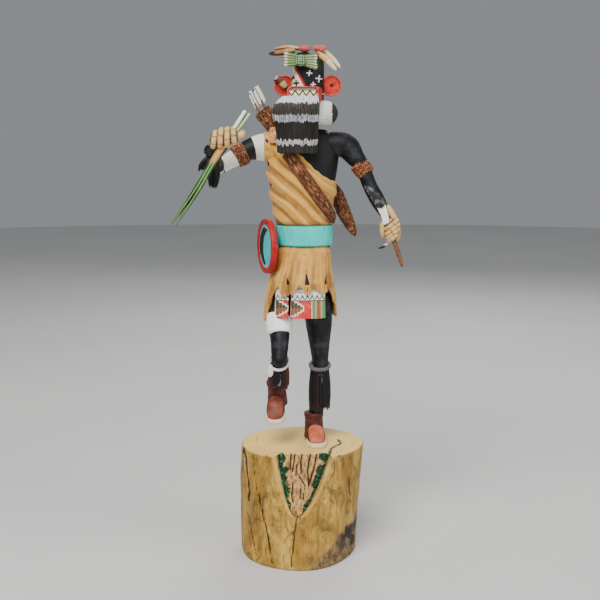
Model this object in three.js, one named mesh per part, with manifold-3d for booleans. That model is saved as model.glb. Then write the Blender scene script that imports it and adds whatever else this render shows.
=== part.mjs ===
// A carved and painted kachina doll that dances on a cottonwood-root base.
// Millimetres, +Z up. The origin is the middle of the base's flat underside and the doll faces -Y.
// The doll's own right hand is on the -X side. Heights on the doll are measured from its soles.
import * as THREE from "three";
import { mergeVertices } from "three/addons/utils/BufferGeometryUtils.js";
import Module from "manifold-3d";

const wasm = await Module();
wasm.setup();

// ---- driving dimensions ----
const BASE_HEIGHT = 80;
const BASE_TOP_RADIUS = 45.3;
const BASE_FOOT_HALF_WIDTH = 42.5;
const BASE_FOOT_FRONT = 54; // the root spreads forward at the bottom
const CLEFT_DEPTH = 42; // the fork in the root, down from the sawn top
const CLEFT_HALF_WIDTH = 19;

const HEM = 93; // lowest tails of the buckskin
const FRONT_HEM = 118;
const BELT_BOTTOM = 146;
const BELT_TOP = 162;
const SHOULDER = 217;
const RUFF = 241; // middle of the neck ruff
const MASK_BOTTOM = 246;
const CROWN = 284;

const HEAD = { x: 5.3, y: 0, halfWidth: 11.7, halfDepth: 12 };
const HEAD_TURN = THREE.MathUtils.degToRad(-8); // looks a little to its right
const GAP = 0.3; // left between pieces that touch

// ---- solids from three.js geometry ----
function solid(geometry) {
  const bare = geometry.index ? geometry.toNonIndexed() : geometry.clone();
  for (const name of Object.keys(bare.attributes)) if (name !== "position") bare.deleteAttribute(name);
  const merged = mergeVertices(bare, 1e-4);
  return new wasm.Manifold(
    new wasm.Mesh({
      numProp: 3,
      vertProperties: new Float32Array(merged.attributes.position.array),
      triVerts: new Uint32Array(merged.index.array),
    }),
  );
}

function geometryOf(made) {
  const mesh = made.getMesh();
  const geometry = new THREE.BufferGeometry();
  geometry.setAttribute("position", new THREE.BufferAttribute(mesh.vertProperties, 3));
  geometry.setIndex(new THREE.BufferAttribute(mesh.triVerts, 1));
  geometry.computeVertexNormals();
  return geometry;
}

function fuse(parts) {
  return parts.map((p) => (p.isBufferGeometry ? solid(p) : p)).reduce((whole, part) => whole.add(part));
}

// The largest body of a solid: chips cut loose by a clearance are left out.
function wholeBody(made) {
  return made.decompose().reduce((best, body) => (body.volume() > best.volume() ? body : best));
}

// Moves every vertex of a geometry to the point that place(vector) gives.
function reshape(geometry, place) {
  const at = geometry.attributes.position;
  const v = new THREE.Vector3();
  for (let i = 0; i < at.count; i++) {
    v.fromBufferAttribute(at, i);
    const p = place(v);
    at.setXYZ(i, p.x, p.y, p.z);
  }
  return geometry;
}

// A closed limb of oval sections. A station is [x, y, z, half width, half depth].
// across is the direction of the half width, power squares the section off, and relief(facing, along)
// adds millimetres to the skin, where facing is 0 at the front and a quarter turn at the +X side.
function limb(stations, { sides = 12, steps = 8, across = [1, 0, 0], power = 2, grow = 0, relief = null } = {}) {
  const path = new THREE.CatmullRomCurve3(stations.map(([x, y, z]) => new THREE.Vector3(x, y, z)));
  const girth = new THREE.CatmullRomCurve3(
    stations.map(([, , , wide, deep], i) => new THREE.Vector3(wide + grow, deep + grow, i * 4)),
  );
  const side = new THREE.Vector3(...across);
  const bent = (c) => (Math.abs(c) < 1e-6 ? 0 : Math.sign(c) * Math.abs(c) ** (2 / power));
  return reshape(new THREE.CylinderGeometry(1, 1, 1, sides, steps), (v) => {
    const along = Math.min(Math.max(v.y + 0.5, 0), 1);
    const middle = path.getPoint(along);
    const tangent = path.getTangent(along);
    const wideWay = side.clone().addScaledVector(tangent, -side.dot(tangent)).normalize();
    const frontWay = wideWay.clone().cross(tangent);
    const size = girth.getPoint(along);
    const rim = Math.hypot(v.x, v.z) > 0.5;
    const extra = relief && rim ? relief(Math.atan2(v.x, v.z), along) : 0;
    return middle
      .addScaledVector(wideWay, bent(v.x) * (size.x + extra))
      .addScaledVector(frontWay, bent(v.z) * (size.y + extra));
  });
}

function egg([x, y, z], [rx, ry, rz], turn = [0, 0, 0], sides = 8, rings = 5) {
  const ball = new THREE.SphereGeometry(1, sides, rings).rotateX(Math.PI / 2).scale(rx, ry, rz);
  const degrees = turn.map(THREE.MathUtils.degToRad);
  return ball.applyMatrix4(new THREE.Matrix4().makeRotationFromEuler(new THREE.Euler(...degrees, "XYZ")))
    .translate(x, y, z);
}

function block([x0, y0, z0], [x1, y1, z1]) {
  return new THREE.BoxGeometry(x1 - x0, y1 - y0, z1 - z0).translate((x0 + x1) / 2, (y0 + y1) / 2, (z0 + z1) / 2);
}

// A flat outline in the front plane, [x, z] points, as a prism from y0 back to y1.
function prism(points, y0, y1) {
  const shape = new THREE.Shape(points.map(([x, z]) => new THREE.Vector2(x, z)));
  return new THREE.ExtrudeGeometry(shape, { depth: y1 - y0, bevelEnabled: false }).rotateX(Math.PI / 2)
    .translate(0, y1, 0);
}

function placed(geometries, turnDegrees, at) {
  const [rx, ry, rz] = turnDegrees.map(THREE.MathUtils.degToRad);
  const matrix = new THREE.Matrix4().makeRotationFromEuler(new THREE.Euler(rx, ry, rz, "ZYX"));
  matrix.setPosition(...at);
  return geometries.map((g) => g.applyMatrix4(matrix));
}

const mix = THREE.MathUtils.lerp;

// ---- the root base ----
function rootBase() {
  const outer = reshape(new THREE.CylinderGeometry(1, 1, 1, 38, 5), (v) => {
    const up = v.y + 0.5;
    const facing = Math.atan2(v.x, v.z);
    const halfWidth = mix(BASE_FOOT_HALF_WIDTH, BASE_TOP_RADIUS, up ** 0.8);
    const front = mix(BASE_FOOT_FRONT, BASE_TOP_RADIUS, up ** 0.6);
    const reach = v.z > 0 ? front : mix(41, 44, up);
    // Broad lobes of the old root, deepest in the middle of its height.
    const lobes = 1 + 0.022 * Math.sin(3 * facing + 0.8) * Math.sin(Math.PI * up) + 0.012 * Math.sin(5 * facing);
    return new THREE.Vector3(mix(-1.5, 1.5, up) + v.x * halfWidth * lobes, -v.z * reach * lobes, up * BASE_HEIGHT);
  });
  // Half width of the fork at a height, and how far its heartwood has drawn back from the front.
  const open = (z) => CLEFT_HALF_WIDTH * Math.max((z - (BASE_HEIGHT - CLEFT_DEPTH)) / CLEFT_DEPTH, 0) ** 0.56;
  const heartwood = (z) => -mix(50, 33, (z - (BASE_HEIGHT - CLEFT_DEPTH)) / CLEFT_DEPTH);
  const forkBox = (share, fromY, toY, low, high, columns) =>
    reshape(new THREE.BoxGeometry(2, 1, 1, columns, 1, 4), (v) => {
      const z = mix(low, high, v.z + 0.5);
      const x = mix(-1.5, 1.5, z / BASE_HEIGHT) + v.x * Math.max(open(z) * share, 0.4);
      return new THREE.Vector3(x, v.y < 0 ? fromY(z, v.x) : toY(z, v.x), z);
    });
  const bottom = BASE_HEIGHT - CLEFT_DEPTH;
  const fork = forkBox(1, () => -70, (z) => heartwood(z) + 3.5, bottom, BASE_HEIGHT + 1, 2);
  const ridges = (z, across) => heartwood(z) + 0.9 * Math.cos(across * 23.6) * Math.abs(Math.cos(across * 2));
  const core = forkBox(0.78, ridges, () => -20, bottom + 1, BASE_HEIGHT, 15);
  return solid(outer).subtract(solid(fork)).add(solid(core));
}

// ---- the carved figure ----
const torso = (grow = 0, relief = null, sides = 12, steps = 7) =>
  limb(
    [
      [0, 3, 100, 18, 12],
      [1, 3, 118, 20.5, 13.5],
      [2.5, 2.5, 136, 19.5, 13.6],
      [3, 2, 154, 18.3, 13.4],
      [2.3, 2, 173, 20.6, 14],
      [1.9, 2, 192, 23.4, 14.6],
      [2.2, 2, 208, 25.4, 14.6],
      [2.4, 2, 220, 25.8, 13],
      [2.8, 2, 227, 23.5, 10.5],
      [3.2, 2, 231, 16, 7],
    ],
    { sides, steps, grow, relief },
  );

// Folds of the skin pulled from its right shoulder down to its left hip.
const FOLD_PITCH = 9.5;
function foldRelief(facing, along) {
  const x = 22 * Math.sin(facing);
  const z = mix(100, 231, along);
  const across = (x * 0.66 + z * 0.75) / FOLD_PITCH;
  const fade = THREE.MathUtils.smoothstep(z, BELT_BOTTOM, 172) * (1 - THREE.MathUtils.smoothstep(z, 196, 214));
  return 0.75 * fade * Math.cos(2 * Math.PI * across);
}

// The skin's upper edge falls from its right shoulder to under its left arm, front and back.
const NECKLINE = [
  [-17, 236], [-15.5, 226], [-9, 218], [2, 210.5], [10.5, 202], [17.5, 196.5], [27.5, 191.5], [45, 191.5],
];
const aboveNeckline = () => prism([...NECKLINE, [45, 245], [-17, 245]], -40, 40);

function buckskinTop() {
  const skin = solid(torso(1.5, foldRelief, 18, 15));
  return skin.subtract(solid(aboveNeckline())).subtract(solid(block([-60, -60, 80], [60, 60, BELT_BOTTOM + 2])));
}

const skirtWall = (grow) =>
  limb(
    [
      [0.2, 2.5, HEM, 26.6, 23.6],
      [0.4, 2.3, HEM + 14, 25.3, 22.4],
      [1.1, 2, HEM + 29, 23, 20.6],
      [2.4, 2, HEM + 43, 20.2, 17.2],
      [3, 2, BELT_BOTTOM + 3, 19.2, 14.4],
    ],
    { sides: 20, steps: 3, grow, power: 2.5 },
  );

// The hem in front is cut into short tongues between two long side tails; [x, z] along the cut.
const HEM_CUT = [
  [-22.5, HEM - 5], [-21.6, 106], [-19, 114], [-15, FRONT_HEM + 1.5], [-13.5, 110.5], [-8, 112.5], [-4, 114.5],
  [-0.5, FRONT_HEM + 2.5], [2.4, 115.5], [5, 112], [7.6, 115], [10.2, FRONT_HEM - 1], [13, 115.5], [17, 112.5],
  [20.6, 115], [21.8, FRONT_HEM], [23.6, 111], [25, 102], [25.5, HEM - 5],
];
// Behind, it hangs in broad ragged points.
function backHemCut() {
  const points = [];
  for (let x = -33; x <= 33; x += 5.5) points.push([x, points.length % 2 ? HEM + 6.5 : HEM + 0.5]);
  return prism([...points, [33, HEM - 10], [-33, HEM - 10]].reverse(), 4, 40);
}

function skirt() {
  const cloth = solid(skirtWall(0)).subtract(
    solid(skirtWall(-1.9)).subtract(solid(block([-60, -60, 124], [60, 60, 200]))),
  );
  return cloth.subtract(solid(prism([...HEM_CUT].reverse(), -40, 1))).subtract(solid(backHemCut()));
}

// Two folded ends of the woven sash hang over the thighs under the hem.
function sashApron() {
  const wall = (wide, deep) =>
    limb([[0.5, 2, 95, wide, deep], [0.5, 2, 109, wide - 1, deep - 1.4], [0.5, 2, 124, wide - 2.4, deep - 3.4]], {
      sides: 20,
      steps: 2,
      power: 3.2,
    });
  const sheet = solid(wall(22, 20.2)).subtract(solid(wall(19.8, 18)));
  const front = fuse([block([-17.6, -40, 95.4], [-7.7, -4, 123]), block([-6.9, -40, 95.4], [18.6, -4, 123])]);
  const backing = solid(block([-17, -16, 97], [18, -4, 122])).intersect(solid(wall(21, 19)));
  return sheet.intersect(front).add(backing);
}

const belt = () =>
  limb(
    [
      [3, 2, BELT_BOTTOM, 19.6, 14.9],
      [3, 2, (BELT_BOTTOM + BELT_TOP) / 2, 19.9, 15.2],
      [3, 2, BELT_TOP, 19.9, 15.2],
    ],
    { sides: 20, steps: 1 },
  );

// The carrying strap runs over its right shoulder and down to its left hip.
function bandolier() {
  const slope = new THREE.Vector3(29, 0, -41).normalize();
  const turn = Math.atan2(-slope.z, slope.x);
  const slab = new THREE.BoxGeometry(160, 80, 9.4).rotateY(turn).translate(8, 0, 189.5);
  return solid(torso(3.2, null, 18, 7)).intersect(solid(slab)).subtract(
    solid(block([-60, -60, 80], [60, 60, BELT_TOP])),
  );
}

const JOINTS = {
  leftKnee: [14.9, 2, 57],
  rightKnee: [-15, -20, 66],
  rightAnkle: [-16.5, 10.5, 38.6],
  rightElbow: [-57, -3, 203],
  rightWrist: [-58.5, -22, 212],
  rightFist: [-51.5, -31, 222.5],
  leftElbow: [50, -3, 190],
  leftWrist: [61, -11, 169],
  leftFist: [64.2, -14, 160.5],
};

function legs() {
  const { leftKnee, rightKnee, rightAnkle } = JOINTS;
  const standing = limb(
    [
      [11.2, 9, 6, 5.5, 6],
      [11.6, 8.5, 16, 5, 5.4],
      [13, 6.5, 32, 6.1, 6.4],
      [14.6, 4, 47, 5.5, 5.8],
      [...leftKnee, 5.5, 5.8],
      [14.4, 2.5, 72, 7.3, 7.6],
      [13.7, 3, 91, 9.9, 10.2],
      [12.6, 3, 110, 10.6, 11],
    ],
    { sides: 10, steps: 7 },
  );
  const thigh = limb(
    [[...rightKnee, 5.2, 5.6], [-14.6, -14, 78, 6.6, 7], [-15, -7, 92, 8.2, 8.4], [-12.6, 3, 112, 10, 10]],
    { sides: 10, steps: 4 },
  );
  const shin = limb(
    [[...rightAnkle, 4.9, 5.3], [-16, -2, 50, 6, 6.2], [...rightKnee, 5.3, 5.4]],
    { sides: 9, steps: 3 },
  );
  const kneecap = egg([rightKnee[0], rightKnee[1] - 0.4, rightKnee[2] - 0.4], [5.4, 5.6, 5.8]);
  return [standing, thigh, shin, kneecap];
}

// The painted band round the raised thigh stands a little proud.
const thighBand = () =>
  limb([[-14.9, -10.6, 83, 8.5, 8.8], [-15.2, -6.4, 90.5, 9.3, 9.4], [-14.8, -3, 98, 9.4, 9.6]], { sides: 12, steps: 1 });

const SOLE_THICKNESS = 3.2;
// A moccasin with its sole on z = 0, toes to -Y and the ankle over y = 8.
function moccasin() {
  const outline = new THREE.Shape();
  outline.moveTo(-6, 15);
  outline.bezierCurveTo(-6.6, 6, -7.6, -4, -7.4, -10);
  outline.bezierCurveTo(-7, -17, -4.4, -19.6, 0, -19.6);
  outline.bezierCurveTo(4.4, -19.6, 7, -17, 7.4, -10);
  outline.bezierCurveTo(7.6, -4, 6.6, 6, 6, 15);
  outline.bezierCurveTo(5, 18.5, -5, 18.5, -6, 15);
  const sole = new THREE.ExtrudeGeometry(outline, { depth: SOLE_THICKNESS, bevelEnabled: false, curveSegments: 2 });
  const upper = limb(
    [
      [0, 15.5, 5.6, 4.6, 3.6],
      [0, 8, 7, 6, 5],
      [0, -2, 6.8, 6.5, 6],
      [0, -11, 5.2, 6.4, 4],
      [0, -17.6, 4, 4.4, 1.8],
    ],
    { sides: 8, steps: 4 },
  );
  const shaft = limb(
    [[0, 8, 2, 7.5, 9], [0, 8, 9, 6.9, 7.9], [-0.2, 8, 16, 6.7, 7.2], [-0.2, 8, 19.5, 7.2, 7.6], [-0.2, 8, 21, 6.9, 7.3]],
    { sides: 9, steps: 3 },
  );
  return [sole, upper, shaft];
}

const feet = () => [
  ...placed(moccasin(), [0, 0, 5], [11.2, 0, 0]),
  ...placed(moccasin(), [20, 0, -4], [-17.2, -2, 24.4]),
];

// A yarn garter below the knee, with its black fringe hanging in strands.
function garter([x, y, z], tiltDegrees, radius, length) {
  const ring = new THREE.TorusGeometry(radius, 0.9, 4, 10)
    .rotateX(THREE.MathUtils.degToRad(tiltDegrees))
    .translate(x, y, z);
  const fringe = solid(
    limb([[x, y, z - length, radius + 3, radius + 2], [x, y, z - length / 2, radius + 2, radius + 1],
      [x, y + 0.5, z, radius - 0.2, radius - 0.2]], { sides: 12, steps: 2 }),
  );
  const notches = [-5.6, 0.4, 5].map((from, i) => {
    const top = z - length * (i === 1 ? 0.62 : 0.7);
    const low = z - length - 6;
    return solid(prism([[x + from - 1.5, low], [x + from + 1.5, low], [x + from, top]], y - 20, y));
  });
  const back = solid(block([x - 20, y + 1, z - length - 9], [x + 20, y + 20, z - 1]));
  return [ring, [...notches, back].reduce((whole, cut) => whole.subtract(cut), fringe)];
}

function arms() {
  const { rightElbow, rightWrist, rightFist, leftElbow, leftWrist } = JOINTS;
  const up = [0, 0, 1];
  const rightUpper = limb(
    [
      [-16, 2, SHOULDER, 9.6, 9.6],
      [-27, 2, SHOULDER, 9.7, 9.4],
      [-36, 0.5, 215.3, 7.9, 7.9],
      [-43, -1, 211.5, 7, 7.2],
      [-51, -2.5, 207, 5.7, 6],
      [...rightElbow, 4.3, 4.8],
    ],
    { sides: 10, steps: 5, across: up },
  );
  const rightFore = limb(
    [[...rightElbow, 4.4, 4.6], [-59, -11, 206, 4.8, 4.8], [...rightWrist, 4.2, 4.2], [...rightFist, 5, 5]],
    { sides: 8, steps: 3 },
  );
  const leftArm = limb(
    [
      [20, 2, 219, 9, 9.6],
      [32, 1.6, 218.4, 9.3, 9.4],
      [39.5, 0.6, 210, 7.2, 7.4],
      [45, -1, 202.4, 5.7, 5.9],
      [...leftElbow, 5.4, 5.6],
      [55.5, -7, 179.5, 5.4, 5.2],
      [...leftWrist, 3.7, 3.7],
      [64, -13, 162, 4, 4],
    ],
    { sides: 9, steps: 8 },
  );
  const rightBand = limb(
    [[-38.4, 0, 213.6, 7.7, 7.7], [-42.6, -0.8, 211.6, 7.9, 8], [-47, -1.8, 209, 7.2, 7.4]],
    { sides: 10, steps: 1, across: up },
  );
  const leftBand = limb(
    [[41.2, 0.2, 206, 6.5, 6.6], [45, -1, 201.6, 6.4, 6.6], [48.2, -2, 197.4, 6.2, 6.3]],
    { sides: 10, steps: 1 },
  );
  return [rightUpper, rightFore, leftArm, rightBand, leftBand];
}

// The right fist: palm behind, four fingers side by side in front, thumb at the side.
function rightHand() {
  const [x, y, z] = JOINTS.rightFist;
  const fingers = [0, 1, 2, 3].map((i) =>
    egg([x - 8.6 + i * 5, y - 2.8, z + 0.4 + i * 0.9], [2.9, 4.6, 7.4 - 0.3 * i], [0, 8 - 4 * i, 0], 6, 4),
  );
  const palm = egg([x - 1, y + 1.5, z + 1], [9.6, 5.6, 6.6], [0, -8, 0]);
  const thumb = egg([x + 10.2, y - 1, z + 3.4], [4.4, 3, 2.8], [0, -38, 0], 6, 4);
  return [palm, thumb, ...fingers];
}

// The left fist hangs, its fingers curled round the arrow.
function leftHand() {
  const [x, y, z] = JOINTS.leftFist;
  const fingers = [0, 1, 2, 3].map((i) =>
    egg([x + 0.5 - i * 0.2, y - 3.4, z + 3.6 - i * 4.3], [6.4 - i * 0.5, 3.4, 2.7], [0, 38, 0], 6, 4),
  );
  const palm = egg([x + 1.6, y + 1, z - 1.4], [5.6, 4.6, 9.6], [0, -14, 0]);
  const thumb = egg([x - 5.4, y - 2, z - 2.4], [2.2, 2.6, 5.4], [0, -4, 0], 6, 4);
  return [palm, thumb, ...fingers];
}

// Black yarn tied round the right wrist, with two tassels.
function wristYarn() {
  const [x, y, z] = JOINTS.rightWrist;
  return [
    egg([x - 2.4, y, z + 2], [6.2, 5.4, 4.6], [0, 30, 0]),
    limb([[x - 11.5, y - 1, z - 13, 2.6, 1.5], [x - 9, y - 1.2, z - 6, 2.4, 1.7], [x - 4, y - 0.5, z, 2, 1.8]], {
      sides: 6,
      steps: 3,
    }),
    limb([[x - 2.2, y, z - 24.4, 3, 1.6], [x - 2.4, y + 0.3, z - 15, 3.6, 2], [x - 1, y + 1, z - 4, 3, 2.4]], {
      sides: 6,
      steps: 3,
    }),
  ];
}

function ruff() {
  return new THREE.TorusGeometry(14.7, 8.8, 8, 18).scale(1, 0.93, 1).translate(3.5, 0.6, RUFF);
}

const mask = (grow = 0, sides = 15) =>
  limb(
    [
      [HEAD.x, HEAD.y, MASK_BOTTOM, 10.6, 11],
      [HEAD.x, HEAD.y, 251, HEAD.halfWidth, HEAD.halfDepth],
      [HEAD.x, HEAD.y, 264, HEAD.halfWidth, HEAD.halfDepth],
      [HEAD.x, HEAD.y, 275, 11.6, 11.9],
      [HEAD.x, HEAD.y, 281, 9.8, 10.2],
      [HEAD.x, HEAD.y, CROWN, 4, 4],
    ],
    { sides, steps: 6, grow },
  );

// Everything on the face is laid out straight ahead of the head and then turned with it.
function onFace(geometry) {
  return geometry.rotateZ(HEAD_TURN).translate(HEAD.x, HEAD.y, 0);
}

const SNOUT = { halfWidth: 11.2, top: 259, bottom: 243, teethBottom: 252, front: -24.2, lip: 1.7 };
function roundedBar(halfWidth, bottom, top, corner) {
  const s = new THREE.Shape();
  s.moveTo(-halfWidth + corner, bottom);
  s.lineTo(halfWidth - corner, bottom);
  s.quadraticCurveTo(halfWidth, bottom, halfWidth, bottom + corner);
  s.lineTo(halfWidth, top - corner);
  s.quadraticCurveTo(halfWidth, top, halfWidth - corner, top);
  s.lineTo(-halfWidth + corner, top);
  s.quadraticCurveTo(-halfWidth, top, -halfWidth, top - corner);
  s.lineTo(-halfWidth, bottom + corner);
  s.quadraticCurveTo(-halfWidth, bottom, -halfWidth + corner, bottom);
  return s;
}
function bar(inset, y0, y1) {
  const low = inset ? SNOUT.teethBottom : SNOUT.bottom;
  const shape = roundedBar(SNOUT.halfWidth - inset, low, SNOUT.top - inset, 2.6 - inset * 0.8);
  const made = new THREE.ExtrudeGeometry(shape, { depth: y1 - y0, bevelEnabled: false, curveSegments: 3 });
  return onFace(made.rotateX(Math.PI / 2).translate(0, y1, 0));
}
const snout = () =>
  solid(bar(0, SNOUT.front, -4)).subtract(solid(bar(SNOUT.lip, SNOUT.front - 1, SNOUT.front + 0.7)));

// The horsehair beard springs from under the teeth, swells over the ruff and hangs square.
const beard = () =>
  limb(
    [
      [-2, -20.4, 212.6, 13.8, 1.9],
      [-2, -20.8, 222, 14.6, 2.2],
      [-2.2, -22.6, 231, 15, 2.8],
      [-2.9, -25, 238.5, 16, 3.6],
      [-2.7, -26.2, 244.5, 16, 4],
      [-1.2, -25.8, 249.4, 14.2, 3.6],
      [0.6, -24.8, 252.8, 12, 2.2],
    ],
    { sides: 12, steps: 7, power: 4.5 },
  );

function whipBlades(grow) {
  const blade = (stations) =>
    limb(stations, { sides: 5, steps: 4, across: [0.83, 0, -0.56], grow });
  return [
    blade([[-89.4, -34, 164.6, 0.5, 0.5], [-72, -35, 189, 1.5, 0.9], [-55, -35.5, 217, 1.6, 1.1], [-38.8, -36, 241.6, 1.6, 1]]),
    blade([[-86.2, -35, 163.8, 0.5, 0.5], [-70, -36, 188, 1.4, 0.9], [-53.6, -36, 216, 1.6, 1], [-36, -36.6, 240.4, 1.4, 0.9]]),
    blade([[-84, -33.6, 170.8, 0.5, 0.5], [-70.6, -34.6, 190, 1.5, 1], [-57.4, -35.4, 211, 1.9, 1.5], [-52.2, -35, 219, 1.9, 1.5]]),
  ];
}

function handArrowParts(grow) {
  const shaft = limb(
    [[72.8, -19, 133, 1, 1], [70, -18.6, 142, 1.7, 1.5], [66.5, -18, 152, 1.6, 1.4], [60, -17, 168, 1.1, 1.1]],
    { sides: 6, steps: 4, grow },
  );
  const vane = limb(
    [[62.2, -17.6, 163, 1.6, 0.8], [60, -17, 171, 3.2, 0.9], [55.6, -15.6, 180, 3.9, 0.9], [50.4, -13, 186, 2.6, 0.9],
      [45.4, -11, 190.6, 0.6, 0.6]],
    { sides: 6, steps: 6, grow, across: [0.86, 0, 0.5] },
  );
  return [shaft, vane];
}

function carvedFigure() {
  const smooth = fuse([
    torso(),
    ...legs(),
    thighBand(),
    ...feet(),
    ...garter([14.6, 3.2, 54.6], 22, 6.3, 34),
    ...garter([-15.4, -14.8, 61], 42, 6.4, 24),
    ...arms(),
    ...rightHand(),
    ...leftHand(),
    ...wristYarn(),
    limb([[3.4, 1.5, 222, 10, 9], [4.6, 1, 250, 9, 9]], { sides: 14, steps: 1 }),
    ruff(),
    mask(),
    beard(),
    belt(),
  ]);
  const dressed = fuse([smooth, snout(), buckskinTop(), skirt(), sashApron(), bandolier()]);
  return wholeBody(dressed.subtract(fuse(whipBlades(GAP))).subtract(fuse(handArrowParts(GAP))));
}

// ---- pieces set on the figure ----
const clearOfMask = (made) => solid(made).subtract(solid(mask(GAP)));

function ear(x) {
  const radius = 7.7;
  const half = 1.5;
  const profile = [
    [0, 0.3], [1.2, 0.3], [1.2, -1], [5.6, -1], [6, -half], [radius, -half], [radius, half], [0, half],
  ].map(([r, h]) => new THREE.Vector2(r, h));
  const disc = new THREE.LatheGeometry(profile, 16).translate(x, 0.5, 260.4);
  return clearOfMask(disc);
}

const earPendant = () =>
  limb([[-10.2, -3.2, 257.2, 2, 1], [-12.6, -4.2, 261.5, 2.6, 1.5], [-16, -3.4, 265.4, 2.2, 1.4], [-18.2, -2, 262.6, 1, 0.9]], {
    sides: 6,
    steps: 6,
    across: [0.7, 0, 0.7],
  });

// A pleated bow of corn husk tied over the brow.
function huskBow() {
  const pleats = 12;
  return reshape(new THREE.BoxGeometry(2, 1, 1, 4, 1, pleats), (v) => {
    const out = Math.abs(v.x);
    const spread = mix(3.1, 5.6, out ** 0.8);
    const pleat = v.y < 0 ? 0.35 * Math.cos(v.z * pleats * Math.PI) * out : 0;
    const bulge = 1.4 - 0.9 * out;
    const y = v.y < 0 ? -15.4 - bulge + pleat + 1.6 * out * out : -13.6 + 1.2 * out * out;
    return new THREE.Vector3(0.4 + v.x * 11.4, y, 277.2 + v.z * 2 * spread - 0.8 * v.x);
  });
}

const feather = (stations, across) => clearOfMask(limb(stations, { sides: 6, steps: 6, across }));
function crestFeathers() {
  return {
    crest_feather_right_upper: feather(
      [[-18.6, 2, 286, 0.5, 0.4], [-13, 2, 287, 2.4, 0.9], [-8, 2, 287.4, 2.8, 1.1], [1.5, 2, 286, 1.8, 1]],
      [0, 1, 0.2],
    ),
    crest_feather_right_lower: feather(
      [[-22, -6, 282.2, 0.6, 0.6], [-16, -6, 282.6, 2.6, 1.6], [-9, -5.6, 283.8, 3, 2], [-3.4, -5, 284.4, 1.8, 1.4]],
      [0, 1, 0.3],
    ),
    crest_feather_left_upper: feather(
      [[28.6, 1, 273, 1.1, 0.7], [24, 1.4, 278.4, 2.2, 1.4], [18.4, 1.8, 283, 2.6, 1.7], [11.5, 2, 286, 1.6, 1.2]],
      [0.5, 1, 0.4],
    ),
    crest_feather_left_lower: feather(
      [[25.6, -7, 270.6, 1, 0.8], [21.6, -7, 275, 2.1, 1.7], [16.8, -6.6, 279.4, 2.4, 2], [11.5, -6, 283, 1.6, 1.4]],
      [0.5, 1, 0.4],
    ),
  };
}

const quiverTube = () =>
  fuse([
    limb(
      [[-27.6, 21, 243, 6.3, 5.4], [-14, 21.6, 226, 6.6, 5.8], [6, 22, 197, 7, 6], [22, 21, 173.6, 6.6, 5.6]],
      { sides: 12, steps: 5 },
    ),
    limb(
      [[41, 17.4, 151.6, 0.9, 0.9], [38, 18, 158, 3.6, 3.2], [32.4, 19, 170, 5.4, 4.6], [26.8, 20.2, 184, 6, 5],
        [19, 21.4, 190, 4.6, 4]],
      { sides: 10, steps: 6 },
    ),
  ]);

function quiver() {
  return quiverTube().subtract(solid(torso(3.2 + GAP, null, 18, 7)));
}

function quiverArrow([x, y, z], reach, lean) {
  const along = new THREE.Vector3(-0.5 + lean, 0, 1).normalize();
  const at = (d) => [x + along.x * d, y, z + along.z * d];
  const shaft = limb([[...at(0), 1, 1], [...at(reach), 1, 1]], { sides: 8, steps: 1 });
  const vane = (way) => {
    const made = new THREE.BoxGeometry(5.6, 0.8, 10.5, 1, 1, 1).translate(0, 0, reach - 5.4);
    made.rotateZ(way).rotateY(Math.atan2(along.x, along.z));
    return made.translate(x, y, z);
  };
  return fuse([shaft, vane(0), vane(Math.PI / 2)]);
}

const SHIELD_RADIUS = 20;
function hipShield() {
  const profile = [
    [0, -3], [16, 0], [SHIELD_RADIUS, 0.4], [SHIELD_RADIUS, 4.6], [16.6, 5], [16, 4.2], [0, 4.2],
  ].map(([r, h]) => new THREE.Vector2(r, h));
  const disc = new THREE.LatheGeometry(profile, 24)
    .rotateZ(Math.PI / 2)
    .rotateZ(THREE.MathUtils.degToRad(18))
    .translate(-21, -0.5, 146);
  return solid(disc)
    .subtract(solid(limb([[3, 2, 140, 19.6 + GAP, 14.9 + GAP], [3, 2, 170, 19.9 + GAP, 15.2 + GAP]], { sides: 24, steps: 1 })))
    .subtract(solid(skirtWall(GAP)));
}

const dart = () =>
  limb([[55.4, -18.6, 146.2, 0.5, 0.4], [58.4, -18.8, 147, 1, 0.7], [60.6, -18, 148.6, 1.1, 0.8]], {
    sides: 6,
    steps: 4,
    across: [0, 0, 1],
  });

// ---- the doll on its base ----
const paint = (colour, roughness = 0.75) => new THREE.MeshStandardMaterial({ color: colour, roughness, metalness: 0 });
function piece(name, made, colour) {
  const mesh = new THREE.Mesh(geometryOf(made.isBufferGeometry ? solid(made) : made), paint(colour));
  mesh.name = name;
  return mesh;
}

const doll = new THREE.Group();
doll.position.z = BASE_HEIGHT;
const figure = carvedFigure();
doll.add(piece("carved_figure", figure, 0x6b5a42));
doll.add(piece("right_ear", ear(-11), 0xb8362a));
doll.add(piece("left_ear", ear(22.3), 0xb8362a));
doll.add(piece("ear_pendant", earPendant(), 0x7a4a26));
doll.add(piece("husk_bow", huskBow(), 0x8a9a62));
for (const [name, made] of Object.entries(crestFeathers())) doll.add(piece(name, made, 0xc2a27c));
doll.add(piece("red_tuft_right", clearOfMask(egg([3, -3, 286.6], [5, 3.4, 2.8])), 0xb33a34));
doll.add(piece("red_tuft_left", clearOfMask(egg([14.2, -3, 286.6], [5.2, 3.4, 2.9])), 0xb33a34));
doll.add(piece("quiver", quiver(), 0x6b3a20));
doll.add(piece("quiver_arrow_outer", quiverArrow([-30.6, 20, 243.4], 15, 0.04), 0xd8d2cc));
doll.add(piece("quiver_arrow_inner", quiverArrow([-25.6, 22, 245.4], 16.6, 0), 0xd8d2cc));
doll.add(piece("hip_shield", hipShield(), 0xc04038));
doll.add(piece("yucca_whip", fuse(whipBlades(0)), 0x6f9a55));
doll.add(piece("hand_arrow", fuse(handArrowParts(0)), 0x6b4030));
doll.add(piece("dart_tip", dart(), 0x1c1a1a));

const kachinaDoll = new THREE.Group();
kachinaDoll.add(piece("root_base", rootBase(), 0xc6a46a));
kachinaDoll.add(doll);

export default kachinaDoll;
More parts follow.
